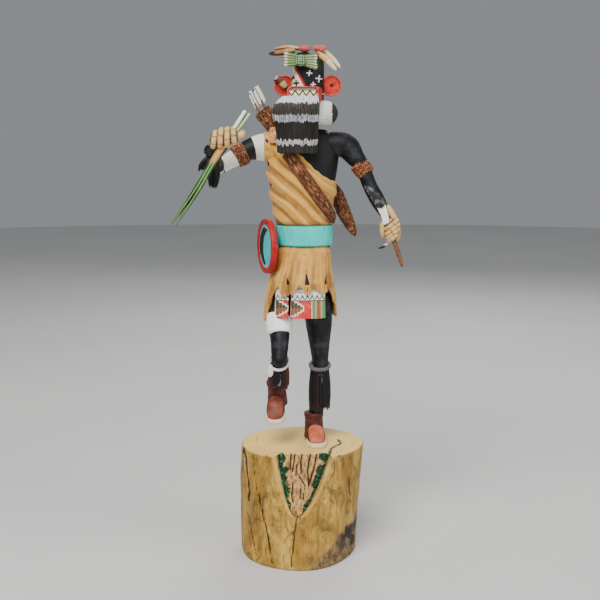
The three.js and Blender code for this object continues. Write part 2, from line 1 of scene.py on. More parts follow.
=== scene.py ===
"""A carved and painted kachina doll that dances on a forked root base.

Sizes are in millimetres in the doll's own frame: its soles are at height 0, it faces -Y, and its right hand is
on the -X side. They become metres, and go up onto the base, only when a mesh is finished.
"""

import random
from math import atan2, copysign, cos, exp, hypot, pi, radians, sin, sqrt, tan

import bmesh
import bpy
from bpy.props import FloatProperty, FloatVectorProperty, IntProperty, PointerProperty
from mathutils import Euler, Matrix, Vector, noise


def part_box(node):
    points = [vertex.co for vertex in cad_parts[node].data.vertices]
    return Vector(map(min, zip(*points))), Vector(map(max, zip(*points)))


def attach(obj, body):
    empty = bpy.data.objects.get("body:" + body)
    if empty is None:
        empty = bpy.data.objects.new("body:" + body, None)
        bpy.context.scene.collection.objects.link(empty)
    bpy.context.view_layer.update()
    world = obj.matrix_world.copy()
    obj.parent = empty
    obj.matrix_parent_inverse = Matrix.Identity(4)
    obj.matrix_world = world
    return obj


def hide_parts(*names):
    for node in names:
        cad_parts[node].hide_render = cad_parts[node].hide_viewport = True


bl_info = {
    "name": "Kachina Doll",
    "version": (1, 0, 0),
    "blender": (4, 5, 0),
    "location": "3D View > Sidebar > Doll",
    "description": "Carves and paints a kachina doll on its root base",
    "category": "Add Mesh",
}

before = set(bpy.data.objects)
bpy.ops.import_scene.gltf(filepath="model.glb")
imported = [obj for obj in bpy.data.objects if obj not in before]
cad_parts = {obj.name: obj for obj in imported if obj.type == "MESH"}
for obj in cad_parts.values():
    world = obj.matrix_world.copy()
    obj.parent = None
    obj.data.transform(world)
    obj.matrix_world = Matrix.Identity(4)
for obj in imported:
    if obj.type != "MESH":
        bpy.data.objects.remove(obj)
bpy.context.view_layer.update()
MM = 0.001
BASE_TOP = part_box("root_base")[1][2] / MM
TURN = 2 * pi
WELD_GAP = 0.004  # points of a form nearer than this, in millimetres, become one
BUMP_STRENGTH = 0.6


def tone(red, green, blue):
    """A paint colour given as it is seen, 0 to 255, as the linear values that a shader takes."""
    shares = [c / 255 for c in (red, green, blue)]
    return tuple(c / 12.92 if c <= 0.04045 else ((c + 0.055) / 1.055) ** 2.4 for c in shares)


def paint_property(name, description, colour):
    return FloatVectorProperty(
        name=name, description=description, default=tone(*colour), subtype="COLOR", size=3, min=0, max=1
    )


def size_property(name, description, millimetres):
    return FloatProperty(name=name, description=description, default=millimetres * MM, subtype="DISTANCE",
                         min=0)


class DollSizes(bpy.types.PropertyGroup):
    fold_depth: size_property("Fold depth", "How deep the folds of the hide dress are carved", 0.85)
    hide_thickness: size_property("Hide thickness", "How far the hide stands off the body", 1.5)
    hair_groove: size_property("Hair groove", "Depth of the strokes carved in the beard", 0.22)
    fringe_width: size_property("Fringe strand width", "Width of one strand of the leg fringes", 2.3)
    crack_depth: size_property("Crack depth", "Depth of the drying cracks in the root", 1.8)
    strands: IntProperty(
        name="Fringe strands", description="Strands in each half of a leg fringe, front and back", default=11,
        min=4, max=24
    )


class DollPaints(bpy.types.PropertyGroup):
    black: paint_property("Black", "Body, mask, limbs, fringes and yarn", (8, 8, 10))
    white: paint_property("White", "Bands on the limbs and white cloth of the sash", (232, 228, 218))
    hide: paint_property("Hide", "Tan of the hide dress", (210, 156, 66))
    # The hide shade is the brown of the shade painted into the hollows of the dress.
    hide_shade: paint_property("Hide shade", "Brown wash in the folds", (122, 72, 24))
    brown: paint_property("Brown", "Strap and quiver", (140, 82, 44))
    turquoise: paint_property("Turquoise", "Belt and shield face", (36, 198, 188))
    red: paint_property("Red", "Ears, lips, shield rim and the line on the mask", (170, 26, 22))
    skin: paint_property("Hands", "Bare cream of the fists", (212, 178, 118))
    moccasin: paint_property("Moccasin", "Brown red of the moccasin sides", (62, 24, 16))
    vamp: paint_property("Vamp", "Rose brown of the moccasin fronts", (178, 86, 56))
    wood: paint_property("Wood", "Pale sawn cottonwood", (228, 190, 106))
    wood_dark: paint_property("Weathered wood", "Ochre of the root's skin", (156, 116, 44))


class DollStage(bpy.types.PropertyGroup):
    key_power: FloatProperty(name="Key light", description="Power of the large soft light", default=30,
                             subtype="POWER")
    fill_power: FloatProperty(name="Fill light", description="Power of the fill light", default=8,
                              subtype="POWER")
    floor: paint_property("Floor", "Colour of the floor", (214, 212, 208))


# ---- arithmetic of the forms ----
def lerp(a, b, share):
    return a + (b - a) * share


def ease(low, high, value):
    share = min(max((value - low) / (high - low), 0.0), 1.0)
    return share * share * (3 - 2 * share)


def bell(value, middle, width):
    return exp(-(((value - middle) / width) ** 2))


def curve(stations, share):
    """The row of numbers at a share of the way along smooth curves through the stations."""
    last = len(stations) - 1
    place = min(max(share, 0.0), 1.0) * last
    i = min(int(place), last - 1)
    f = place - i
    b, c = stations[i], stations[i + 1]
    a = stations[i - 1] if i else [2 * q - r for q, r in zip(b, c)]
    d = stations[i + 2] if i + 2 <= last else [2 * r - q for q, r in zip(b, c)]
    return [
        0.5 * (2 * q + (r - p) * f + (2 * p - 5 * q + 4 * r - s) * f * f + (3 * q - p - 3 * r + s) * f**3)
        for p, q, r, s in zip(a, b, c, d)
    ]


def along_line(points, x):
    """Height of a line of straight stretches, given as [x, height] from left to right, over x."""
    for (x0, z0), (x1, z1) in zip(points, points[1:]):
        if x <= x1:
            return lerp(z0, z1, min(max((x - x0) / (x1 - x0), 0.0), 1.0))
    return points[-1][1]


def bent(c, power):
    return copysign(abs(c) ** (2 / power), c) if abs(c) > 1e-9 else 0.0


def tip(v, ends):
    """1 along a body, falling to 0 in a round over the given share of each end."""
    scale = 1.0
    for distance, length in ((v, ends[0]), (1 - v, ends[1])):
        if length and distance < length:
            scale *= sqrt(max(1 - (1 - distance / length) ** 2, 0.0))
    return scale


class Sweep:
    """A body of oval sections along stations of [x, y, z, half width, half depth]."""

    def __init__(self, stations, across=(1, 0, 0), power=2.0, ends=(0.0, 0.0), level=False):
        self.stations = stations
        self.level = level
        self.side = Vector(across).normalized()
        self.power = power
        self.ends = ends
        self.rows = {}

    def row(self, v):
        if v not in self.rows:
            here = curve(self.stations, v)
            ahead = Vector(curve(self.stations, min(v + 0.01, 1))[:3])
            tangent = (ahead - Vector(curve(self.stations, max(v - 0.01, 0))[:3])).normalized()
            if self.level:
                tangent = Vector((0, 0, 1))
            wide = (self.side - tangent * self.side.dot(tangent)).normalized()
            self.rows[v] = Vector(here[:3]), here[3], here[4], wide, wide.cross(tangent), tip(v, self.ends)
        return self.rows[v]

    def at(self, u, v, out=0.0):
        """The point at turn u, where a half is the front, and share v of the length, out from the skin."""
        centre, half_wide, half_deep, wide, front, scale = self.row(v)
        facing = TURN * (u - 0.5)
        x = bent(sin(facing), self.power) * (half_wide + out) * scale
        y = bent(cos(facing), self.power) * (half_deep + out) * scale
        return centre + wide * x + front * y


def fine(x, y, z, scale=1.0, seed=0.0):
    return noise.noise(Vector((x * scale + seed, y * scale - seed, z * scale + 3.1 * seed)))


# ---- meshes ----
def new_form():
    form = bmesh.new()
    form.loops.layers.uv.new("surface")
    # This layer carries painted shade in hollows, folds, cracks and grooves, and in some pieces a plain painted
    # pattern.
    form.verts.layers.float.new("wash")
    form.verts.layers.float.new("mark")
    return form


def lay_grid(form, columns, rows, place, slot=0):
    """Adds a grid of points place(u, v), or (point, wash, mark), closed round u and at both ends of v."""
    uv = form.loops.layers.uv["surface"]
    wash, mark = form.verts.layers.float["wash"], form.verts.layers.float["mark"]
    made = bmesh.ops.create_grid(form, x_segments=columns, y_segments=rows, size=0.5)["verts"]
    flat = {v: (v.co.x + 0.5, v.co.y + 0.5) for v in made}
    faces = {f for v in made for f in v.link_faces}
    for face in faces:
        face.material_index = slot
        for loop in face.loops:
            loop[uv].uv = flat[loop.vert]
    for vert, (u, v) in flat.items():
        point = place(u, v)
        if isinstance(point, tuple):
            point, vert[wash], vert[mark] = (*point, 0.0)[:3]
        vert.co = point
    bmesh.ops.remove_doubles(form, verts=made, dist=WELD_GAP)
    kept = [v for v in made if v.is_valid]
    rims = {e for v in kept for e in v.link_edges if e.is_boundary}
    for face in bmesh.ops.holes_fill(form, edges=list(rims), sides=0)["faces"]:
        face.material_index = slot
    shell = {f for v in kept for f in v.link_faces}
    bmesh.ops.recalc_face_normals(form, faces=list(shell))
    return kept


def finish_piece(form, name, materials, nodes="carved_figure", slot="figure_paint", lift=True, crease=None):
    """Turns a form in millimetres into a piece that stands for CAD nodes, by default the carved figure."""
    bmesh.ops.translate(form, verts=form.verts, vec=(0, 0, BASE_TOP if lift else 0))
    bmesh.ops.scale(form, verts=form.verts, vec=(MM, MM, MM))
    mesh = bpy.data.meshes.new(name)
    form.to_mesh(mesh)
    form.free()
    mesh.polygons.foreach_set("use_smooth", [True] * len(mesh.polygons))
    if crease:
        mesh.set_sharp_from_angle(angle=radians(crease))
    for material in materials if isinstance(materials, (list, tuple)) else [materials]:
        mesh.materials.append(material)
    thing = bpy.data.objects.new(name, mesh)
    bpy.context.scene.collection.objects.link(thing)
    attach(thing, "root")
    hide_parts(*([nodes] if isinstance(nodes, str) else nodes))
    return thing


def grid_piece(name, columns, rows, place, material, *stands_for):
    """One grid as a piece, of the carved figure unless another node is given. A slot given after the node is
    not used.
    """
    form = new_form()
    lay_grid(form, columns, rows, place)
    finish_piece(form, name, material, *stands_for)


def swept_piece(name, sweep, columns, rows, material, relief=None):
    """One swept body as a piece of the carved figure."""
    form = new_form()
    lay_sweep(form, sweep, columns, rows, relief)
    finish_piece(form, name, material)


def lay_sweep(form, sweep, columns, rows, relief=None):
    """Adds a swept body. relief(u, v, point) gives its height off the skin, or (height, wash)."""

    def place(u, v):
        if relief is None:
            return sweep.at(u, v)
        out = relief(u, v, sweep.at(u, v))
        if isinstance(out, tuple):
            return (sweep.at(u, v, out[0]), *out[1:])
        return sweep.at(u, v, out)

    return lay_grid(form, columns, rows, place)


def lay_turned(form, outline, profile, columns, rows, slot):
    """A plate whose outline(u) gives [x, y], built up by a profile of [scale, height] from face to face."""

    def place(u, v):
        scale, height = curve_straight(profile, v)
        x, y = outline(u)
        return Vector((x * scale, y * scale, height))

    return lay_grid(form, columns, rows, place, slot)


def curve_straight(stations, share):
    """The row of numbers at a share of the way along straight stretches between the stations."""
    place = share * (len(stations) - 1)
    i = min(int(place), len(stations) - 2)
    return [lerp(p, q, place - i) for p, q in zip(stations[i], stations[i + 1])]


def move(form, verts, turn=(0, 0, 0), to=(0, 0, 0)):
    """Turns vertices about the origin, in degrees about X, then Y, then Z, and takes them to a place."""
    matrix = Euler([radians(a) for a in turn], "XYZ").to_matrix().to_4x4()
    matrix.translation = Vector(to)
    bmesh.ops.transform(form, matrix=matrix, verts=verts)



# ---- materials ----
class Nodes:
    """Short ways to add nodes to one tree."""

    def __init__(self, tree):
        self.tree = tree

    def add(self, kind, inputs=None, **settings):
        node = self.tree.nodes.new("ShaderNode" + kind)
        for key, value in settings.items():
            setattr(node, key, value)
        for key, value in (inputs or {}).items():
            self.feed(node.inputs[key], value)
        return node

    def feed(self, socket, value):
        if isinstance(value, bpy.types.NodeSocket):
            self.tree.links.new(value, socket)
        elif socket.type == "RGBA" and len(value) == 3:
            socket.default_value = (*value, 1)
        else:
            socket.default_value = value

    def sum(self, operation, a, b=0.0, c=0.0, clamp=False):
        return self.add("Math", {0: a, 1: b, 2: c}, operation=operation, use_clamp=clamp).outputs[0]

    def mix(self, factor, a, b, mode="MIX"):
        node = self.tree.nodes.new("ShaderNodeMix")
        node.data_type, node.blend_type = "RGBA", mode
        for socket, value in ((node.inputs[0], factor), (node.inputs[6], a), (node.inputs[7], b)):
            self.feed(socket, value)
        return node.outputs[2]

    def step(self, value, low, high):
        """0 below low, 1 above high and a soft rise between them."""
        node = self.add("MapRange", {"Value": value, "From Min": low, "From Max": high},
                        interpolation_type="SMOOTHSTEP")
        return node.outputs[0]

    def noise(self, vector, scale, detail=3.0, roughness=0.55, distortion=0.0):
        inputs = {"Vector": vector, "Scale": scale, "Detail": detail, "Roughness": roughness,
                  "Distortion": distortion}
        return self.add("TexNoise", inputs).outputs[0]

    def stretched(self, vector, x, y, z):
        return self.add("Mapping", {"Vector": vector, "Scale": (x, y, z)}).outputs[0]

    def place(self):
        return self.add("TexCoord").outputs["Object"]

    def doll(self):
        """Millimetres in the doll's own frame, with its soles at height 0."""
        lift = (0, 0, -BASE_TOP)
        return self.add("VectorMath", {0: self.place(), 1: (1000, 1000, 1000), 2: lift},
                        operation="MULTIPLY_ADD").outputs[0]

    def parts(self, vector):
        return self.add("SeparateXYZ", {0: vector}).outputs

    def surface(self):
        return self.add("UVMap", uv_map="surface").outputs[0]

    # The form's painted shade in its hollows; some pieces keep a plain pattern mask in it instead.
    def wash(self):
        return self.add("Attribute", attribute_name="wash").outputs["Fac"]

    def mark(self):
        return self.add("Attribute", attribute_name="mark").outputs["Fac"]

    def inside(self, value, low, high, soft):
        """1 where a value lies between low and high."""
        rise = self.step(value, low - soft, low + soft)
        return self.both(rise, self.minus(1.0, self.step(value, high - soft, high + soft)))

    def both(self, a, b):
        return self.sum("MULTIPLY", a, b)

    def plus(self, a, b):
        return self.sum("ADD", a, b)

    def minus(self, a, b):
        return self.sum("SUBTRACT", a, b)

    def scaled(self, value, factor, plus, clamp=False):
        return self.sum("MULTIPLY_ADD", value, factor, plus, clamp)

    def away(self, value, middle):
        """How far a value lies from a middle one, either way."""
        return self.sum("ABSOLUTE", self.minus(value, middle))

    def patches(self, scale, detail, low, high, roughness=0.55):
        """Soft patches in the piece's own space: 0 where their noise is below low, 1 above high."""
        return self.step(self.noise(self.place(), scale, detail, roughness), low, high)

    def jittered(self, value, scale, detail, amount):
        """A value moved up and down by fine noise."""
        grain = self.minus(self.noise(self.place(), scale, detail), 0.5)
        return self.scaled(grain, amount, value)

    def repeated(self, value, length):
        """A value that starts again from 0 after every length."""
        return self.sum("FLOORED_MODULO", value, length)

    def up_facing(self):
        return self.parts(self.add("NewGeometry").outputs["Normal"])[2]

    def group(self, tree, **inputs):
        node = self.tree.nodes.new("ShaderNodeGroup")
        node.node_tree = tree
        for key, value in inputs.items():
            self.feed(node.inputs[key.replace("_", " ")], value)
        return node.outputs


def node_group(name, inputs, outputs):
    """Makes a function that fills a shader node group into one that returns it, filled at its first use."""

    def group_from(fill):
        def group():
            if name in bpy.data.node_groups:
                return bpy.data.node_groups[name]
            tree = bpy.data.node_groups.new(name, "ShaderNodeTree")
            for socket, kind, value in inputs:
                made = tree.interface.new_socket(name=socket, in_out="INPUT", socket_type="NodeSocket" + kind)
                if value is not None:
                    made.default_value = value
            for socket, kind in outputs:
                tree.interface.new_socket(name=socket, in_out="OUTPUT", socket_type="NodeSocket" + kind)
            given = tree.nodes.new("NodeGroupInput").outputs
            fill(Nodes(tree), given, tree.nodes.new("NodeGroupOutput").inputs)
            return tree

        return group

    return group_from


@node_group(
    "Hand brushwork",
    [("Colour", "Color", None), ("Bare Wood", "Color", (0.55, 0.38, 0.2, 1)), ("Drift", "Float", 0.25),
     ("Rubbed", "Float", 0.2)],
    [("Colour", "Color"), ("Roughness", "Float"), ("Height", "Float")],
)
def brushwork_group(n, given, out):
    """Hand-brushed matt paint: slow drifts of tone, fine strokes, and small rubbed spots of bare wood."""
    where = n.place()
    slow = n.noise(where, 70, 4)
    strokes = n.noise(n.stretched(where, 1.0, 1.0, 0.22), 1500.0, 3, 0.6)
    grain = n.noise(where, 4200, 2)
    light = n.scaled(n.minus(slow, 0.5), given["Drift"], 1.0)
    light = n.scaled(n.minus(strokes, 0.5), n.both(given["Drift"], 0.9), light)
    light = n.scaled(n.minus(grain, 0.5), 0.12, light)
    shaded = n.add("HueSaturation", {"Value": light, "Color": given["Colour"]}).outputs[0]
    spots = n.both(n.step(n.noise(where, 420, 5, 0.7), 0.66, 0.74), given["Rubbed"])
    n.feed(out["Colour"], n.mix(spots, shaded, given["Bare Wood"]))
    n.feed(out["Roughness"], n.scaled(slow, 0.24, 0.42))
    n.feed(out["Height"], n.scaled(strokes, 0.6, n.both(grain, 0.25)))


@node_group(
    "Carved hatching",
    [("Coordinates", "Vector", None), ("Light", "Color", None), ("Dark", "Color", None),
     ("Scale", "Float", 1.0)],
    [("Colour", "Color"), ("Height", "Float")],
)
def hatch_group(n, given, out):
    """Shaggy hide cut in short dark strokes that run along the given coordinates."""
    warp = n.noise(given["Coordinates"], n.both(given["Scale"], 0.45), 2)
    shift = n.add("CombineXYZ", {0: n.both(warp, 1.6)}).outputs[0]
    moved = n.add("VectorMath", {0: given["Coordinates"], 1: shift}, operation="ADD").outputs[0]
    cells = n.add("TexVoronoi", {"Vector": moved, "Scale": given["Scale"], "Randomness": 1.0},
                  feature="DISTANCE_TO_EDGE").outputs["Distance"]
    ridge = n.step(cells, 0.02, 0.15)
    mottle = n.noise(given["Coordinates"], n.both(given["Scale"], 0.3), 4)
    body = n.mix(n.step(mottle, 0.3, 0.7), n.mix(0.45, given["Light"], given["Dark"]), given["Light"])
    sunlit = n.mix(0.5, given["Light"], (0.72, 0.44, 0.22, 1))
    body = n.mix(n.both(n.step(cells, 0.2, 0.4), 0.55), body, sunlit)
    n.feed(out["Colour"], n.mix(ridge, given["Dark"], body))
    n.feed(out["Height"], ridge)


@node_group(
    "Ragged band",
    [("Across", "Float", 0.0), ("From", "Float", 0.0), ("To", "Float", 1.0), ("Soft", "Float", 0.01),
     ("Ragged", "Float", 0.02), ("Noise", "Float", 0.5)],
    [("Mask", "Float")],
)
def ragged_band_group(n, given, out):
    """A band between two values of a coordinate, whose edges a noise breaks up."""
    shifted = n.scaled(n.minus(given["Noise"], 0.5), given["Ragged"], given["Across"])
    low = n.minus(shifted, given["From"])
    high = n.minus(given["To"], shifted)
    rise, fall = (n.sum("DIVIDE", edge, given["Soft"], clamp=True) for edge in (low, high))
    n.feed(out["Mask"], n.both(rise, fall))


class Finish:
    """One material: its nodes, its shader, and the brushwork and hatching that most finishes share."""

    def __init__(self, name, roughness=0.6, sheen=0.0):
        self.material = bpy.data.materials.new(name)
        self.material.use_nodes = True
        self.material.node_tree.nodes.clear()
        self.n = Nodes(self.material.node_tree)
        looks = {"Roughness": roughness, "Sheen Weight": sheen, "Specular IOR Level": 0.3}
        self.shader = self.n.add("BsdfPrincipled", looks)
        self.n.add("OutputMaterial", {"Surface": self.shader.outputs[0]})

    def colour(self, value):
        self.n.feed(self.shader.inputs["Base Color"], value)

    def rough(self, value):
        self.n.feed(self.shader.inputs["Roughness"], value)

    def bump(self, height, depth):
        """depth is the height of the relief in millimetres."""
        made = self.n.add("Bump", {"Height": height, "Distance": depth * MM, "Strength": BUMP_STRENGTH})
        self.n.feed(self.shader.inputs["Normal"], made.outputs[0])

    def brushed(self, colour, drift, rubbed, depth=0.12, relief=None):
        """Lays brushed paint of a colour, with the relief of its strokes or one that is given."""
        made = self.n.group(brushwork_group(), Colour=colour, Drift=drift, Rubbed=rubbed)
        self.colour(made["Colour"])
        self.rough(made["Roughness"])
        self.bump(made["Height"] if relief is None else relief, depth)
        return self.material

    def hatched(self, light, dark, across, along, depth, scale=1.0):
        """Carves hatching, so many strokes across and along the piece, and gives its colour."""
        coordinates = self.n.stretched(self.n.surface(), across, along, 1)
        made = self.n.group(hatch_group(), Coordinates=coordinates, Light=light, Dark=dark, Scale=scale)
        self.bump(made["Height"], depth)
        return made["Colour"]


# ---- the root base ----
FORK_DEPTH = 42
UNDER_END, SKIN_END = 0.05, 0.72  # shares of the root's rows at which its underside and its skin end
# Grooves in the heartwood and cracks in the skin, as lines of [x, height] with a half width. Holes are a place
# and a half width and height, and the lines on the sawn top are lines of [x, y].
HEART_GROOVES = (
    ([[-6.3, 80.3], [-7.0, 69.7]], 0.5), ([[-3.4, 80.3], [-5.3, 68.2]], 0.5),
    ([[1.6, 80.3], [0.4, 73.9], [0.9, 66.8]], 0.5), ([[7.7, 80.5], [5.5, 70.0], [6.2, 58.6]], 0.6),
    ([[12.5, 81.3], [10.2, 71.4], [6.7, 60.0]], 0.6), ([[14.6, 73.1], [9.1, 58.2]], 0.4),
    ([[-2.2, 72.8], [-3.0, 65.7]], 0.4), ([[-0.3, 64.7], [4.0, 58.2]], 0.45),
    ([[-4.9, 60.7], [-5.6, 52.1]], 0.45), ([[0.6, 57.4], [0.0, 50.3]], 0.4), ([[2.6, 53.9], [2.3, 49.6]], 0.35),
    ([[-6.3, 54.2], [-4.9, 47.8]], 0.4),
)
SKIN_CRACKS = (
    ([[-2.1, 39], [-4.2, 22.3], [-6.4, 2.4]], 0.36),
    ([[-30, 51], [-26.6, 36], [-22.6, 20], [-19.9, 3.4]], 0.36),
    ([[-40.8, 79], [-38.6, 68.3], [-37.4, 53.9], [-36.9, 42.7]], 1.0), ([[35, 60], [36.5, 42]], 0.3),
    ([[-33.5, 78], [-32.2, 62], [-31, 49]], 0.25), ([[-37.6, 33], [-34.4, 18], [-31.6, 6]], 0.25),
)
SKIN_HOLES = (
    ([33.8, 21.5], [2.4, 4.6]), ([36.6, 16], [2.8, 5]), ([38.4, 9.5], [2.8, 5.5]), ([28, 80], [1.5, 1.9]),
    ([17.2, 50.8], [0.8, 0.7]), ([12.1, 42.4], [0.5, 0.8]), ([-14.4, 41], [0.8, 0.6]),
    ([30.6, 70.2], [0.6, 0.6]), ([-41, 76], [1.7, 2.4]),
)
TOP_MOSS = ([20.5, -36], [22.9, -17.1], [30.3, -4.4], [28.6, 6.5])
TOP_SEAMS = ([[-33.3, 15.3], [-31.4, -9.6], [-27.8, -22.4], [-16, -31]],
             [[40.0, 6.5], [35.4, -7.1], [30.5, -19.8], [22, -33]])


def off_line(points, x, z):
    """Distance in the x, z plane from a line of stretches."""
    best = 1e9
    for (x0, z0), (x1, z1) in zip(points, points[1:]):
        dx, dz = x1 - x0, z1 - z0
        share = min(max(((x - x0) * dx + (z - z0) * dz) / (dx * dx + dz * dz), 0), 1)
        best = min(best, hypot(x - x0 - dx * share, z - z0 - dz * share))
    return best


def root_point(facing, up):
    """A point on the root's skin before its fork opens."""
    half = lerp(42.5, 45.3, up**0.8)
    front = lerp(54, 45.3, up**0.6)
    reach = front if cos(facing) > 0 else lerp(41, 44, up)
    lobes = 1 + 0.022 * sin(3 * facing + 0.8) * sin(pi * up) + 0.012 * sin(5 * facing)
    across, ahead = sin(facing), cos(facing)
    bumps = 1.3 * fine(across * 2, ahead * 2, up * 3.2, 1.0, 4)
    bumps += 0.45 * fine(across * 14, ahead * 14, up * 3, 1.0, 9)
    bumps -= 1.3 * bell(facing + 0.1 * up, -0.5, 0.05) + 0.9 * bell(facing - 0.2 * up, 0.42, 0.06)
    fade = sin(pi * min(max(up, 0), 1)) ** 0.5 if 0 < up < 1 else 0
    x = lerp(-1.5, 1.5, up) + across * (half * lobes + bumps * fade)
    return Vector((x, -ahead * (reach * lobes + bumps * fade), up * BASE_TOP))


def root_surface(facing, up):
    """A point on the finished root with its darkening and its kind: 0 skin, 1 heartwood, 2 moss. The darkening
    is painted shade in the cracks, holes and grooves, with the heartwood's grain.
    """
    point = root_point(facing, up)
    x, z = point.x, point.z
    wash = kind = 0.0
    if point.y < 0:
        depth = 0.0
        astray = 1.1 * fine(0, x * 0.1, z, 0.16, 13) + 0.35 * fine(0, x * 0.1, z, 0.7, 14)
        for line, width in SKIN_CRACKS:
            cut = bell(off_line(line, x + astray, z), 0, width * (0.8 + 0.9 * fine(x * 0.1, 0, z, 0.2, 15)))
            depth, wash = max(depth, cut), max(wash, cut)
        point.y += depth * bpy.context.scene.doll_sizes.crack_depth / MM
        for (hole_x, hole_z), (wide, tall) in SKIN_HOLES:
            rough = 1 + 0.5 * fine(x, z, 0, 0.35, 16)
            cut = exp(-(((x - hole_x) / wide) ** 2 + ((z - hole_z) / tall) ** 2) * 1.3 * rough)
            point.y += cut * min(wide, tall) * 0.9
            wash = max(wash, ease(0.35, 0.75, cut))
        low = BASE_TOP - FORK_DEPTH
        if z > low:
            risen = (z - low) / FORK_DEPTH
            open_half = 19.6 * risen**0.56
            s = (x - lerp(-2.1, 2.6, risen)) / max(open_half, 0.4)
            inside = 1 - ease(0.93, 1.03, abs(s))
            heart = -lerp(50, 33, risen)
            gap = ease(0.62, 0.72, abs(s) + 0.3 * fine(x, 0, z, 0.22, 2) + 0.1 * fine(x, 0, z, 0.9, 12))
            lump = 1.5 * fine(x, z, 0, 0.45, 5) + 1.0 * fine(x, z, 1, 1.3, 6) + 1.2
            point.y += 2.2 * bell(abs(s), 1.0, 0.09) * (1 - inside)
            groove = max(bell(off_line(line, x, z), 0, width) for line, width in HEART_GROOVES)
            bark = heart + 0.5 * fine(x, z * 0.2, 0, 0.9, 7) + 1.5 * groove
            target = lerp(bark, heart + 2.3 - lump, gap)
            if target > point.y:
                point.y = lerp(point.y, target, inside)
            grain = 0.45 * ease(0.1, 0.5, fine(x, z * 0.25, 3, 0.7, 8))
            wash = lerp(wash, max(groove, grain), inside * (1 - gap))
            # A negative kind marks the rounded lip round the opening, which the paint makes pale as a painted
            # highlight.
            lip = bell(abs(s), 1.0 + 1.3 / max(open_half, 1.3), 1.6 / max(open_half, 1.6))
            kind = inside * (1 + gap) - lip * (1 - inside)
    return point, wash, kind


def root_place(u, v):
    """A point of the root's grid, whose columns stand closer together at the front, with its darkening and
    kind.
    """
    turn = TURN * (u - 0.5)
    facing = turn - 0.45 * sin(turn)
    if v < UNDER_END:
        point = root_surface(facing, 0.0)[0]
        return Vector((point.x, point.y, 0)) * (v / UNDER_END) * 0.985, 0.0, 0.0
    if v < SKIN_END:
        up = (v - UNDER_END) / (SKIN_END - UNDER_END)
        point, wash, kind = root_surface(facing, up)
        soft = 0.8 * (bell(up * BASE_TOP, BASE_TOP, 0.5) + bell(up * BASE_TOP, 0, 0.8))
        if kind < 0.5:
            point.x -= soft * sin(facing)
            point.y += soft * cos(facing)
        return point, wash, kind
    scale = 1 - (v - SKIN_END) / (1 - SKIN_END)
    rim, _, kind = root_surface(facing, 1.0)
    inset = 1 - 0.018 * scale
    point = Vector((2, 2, BASE_TOP)).lerp(Vector((rim.x, rim.y, BASE_TOP)), scale * inset)
    x, y = point.x, point.y
    cut = bell(off_line(TOP_MOSS, x, y), 0, 1.0 + 0.5 * fine(x, y, 0, 0.4, 17))
    seam = max(0.55 * bell(off_line(line, x + fine(x, y, 0, 0.2, 18), y), 0, 0.42) for line in TOP_SEAMS)
    point.z -= 0.8 * cut + 0.3 * seam + 0.06 * fine(x, y, 0, 0.3, 3)
    return point, seam, 2 * max(min(1.5 * cut, 1), ease(0.97, 1.0, scale) * (1 if kind > 1.5 else 0))


@node_group(
    "Weathered cottonwood",
    [("Pale", "Color", None), ("Ochre", "Color", None), ("Grey", "Color", None)],
    [("Colour", "Color"), ("Height", "Float")],
)
def wood_group(n, given, out):
    """Weathered cottonwood: patches of cream, ochre and grey with upright streaks and small dark flecks."""
    where = n.place()
    upright = n.stretched(where, 1, 1, 0.3)
    slow = n.noise(n.stretched(where, 1, 1, 0.5), 50, 6, 0.7, 0.8)
    patch = n.noise(n.stretched(where, 1, 1, 0.55), 95, 6, 0.75, 1.0)
    streak = n.noise(n.stretched(where, 1, 1, 0.07), 900, 4, 0.6)
    fleck = n.noise(where, 1900, 3, 0.6)
    base = n.mix(n.step(slow, 0.36, 0.62), given["Pale"], given["Ochre"])
    base = n.mix(n.both(n.step(patch, 0.48, 0.66), 0.85), base, given["Grey"])
    warm = n.mix(1.0, base, (0.86, 0.64, 0.4), "MULTIPLY")
    base = n.mix(n.both(n.step(n.noise(upright, 85, 3, 0.6, 1.0), 0.5, 0.68), 0.6), base, warm)
    drawn = n.noise(n.stretched(where, 1, 1, 0.09), 260, 4, 0.65, 0.6)
    base = n.mix(n.both(n.step(drawn, 0.54, 0.66), 0.5), base, n.mix(0.6, base, given["Grey"]))
    light = n.scaled(n.minus(streak, 0.5), 0.75, 1.0)
    light = n.scaled(n.minus(fleck, 0.5), 0.3, light)
    n.feed(out["Colour"], n.add("HueSaturation", {"Value": light, "Color": base}).outputs[0])
    n.feed(out["Height"], n.scaled(streak, 0.7, n.both(fleck, 0.3)))


def slow_edge(n):
    """A slow noise that breaks up the edges of patches."""
    return n.noise(n.place(), 90, 4, 0.6)


def height_mm(n):
    """Millimetres above the doll's soles."""
    return n.parts(n.doll())[2]


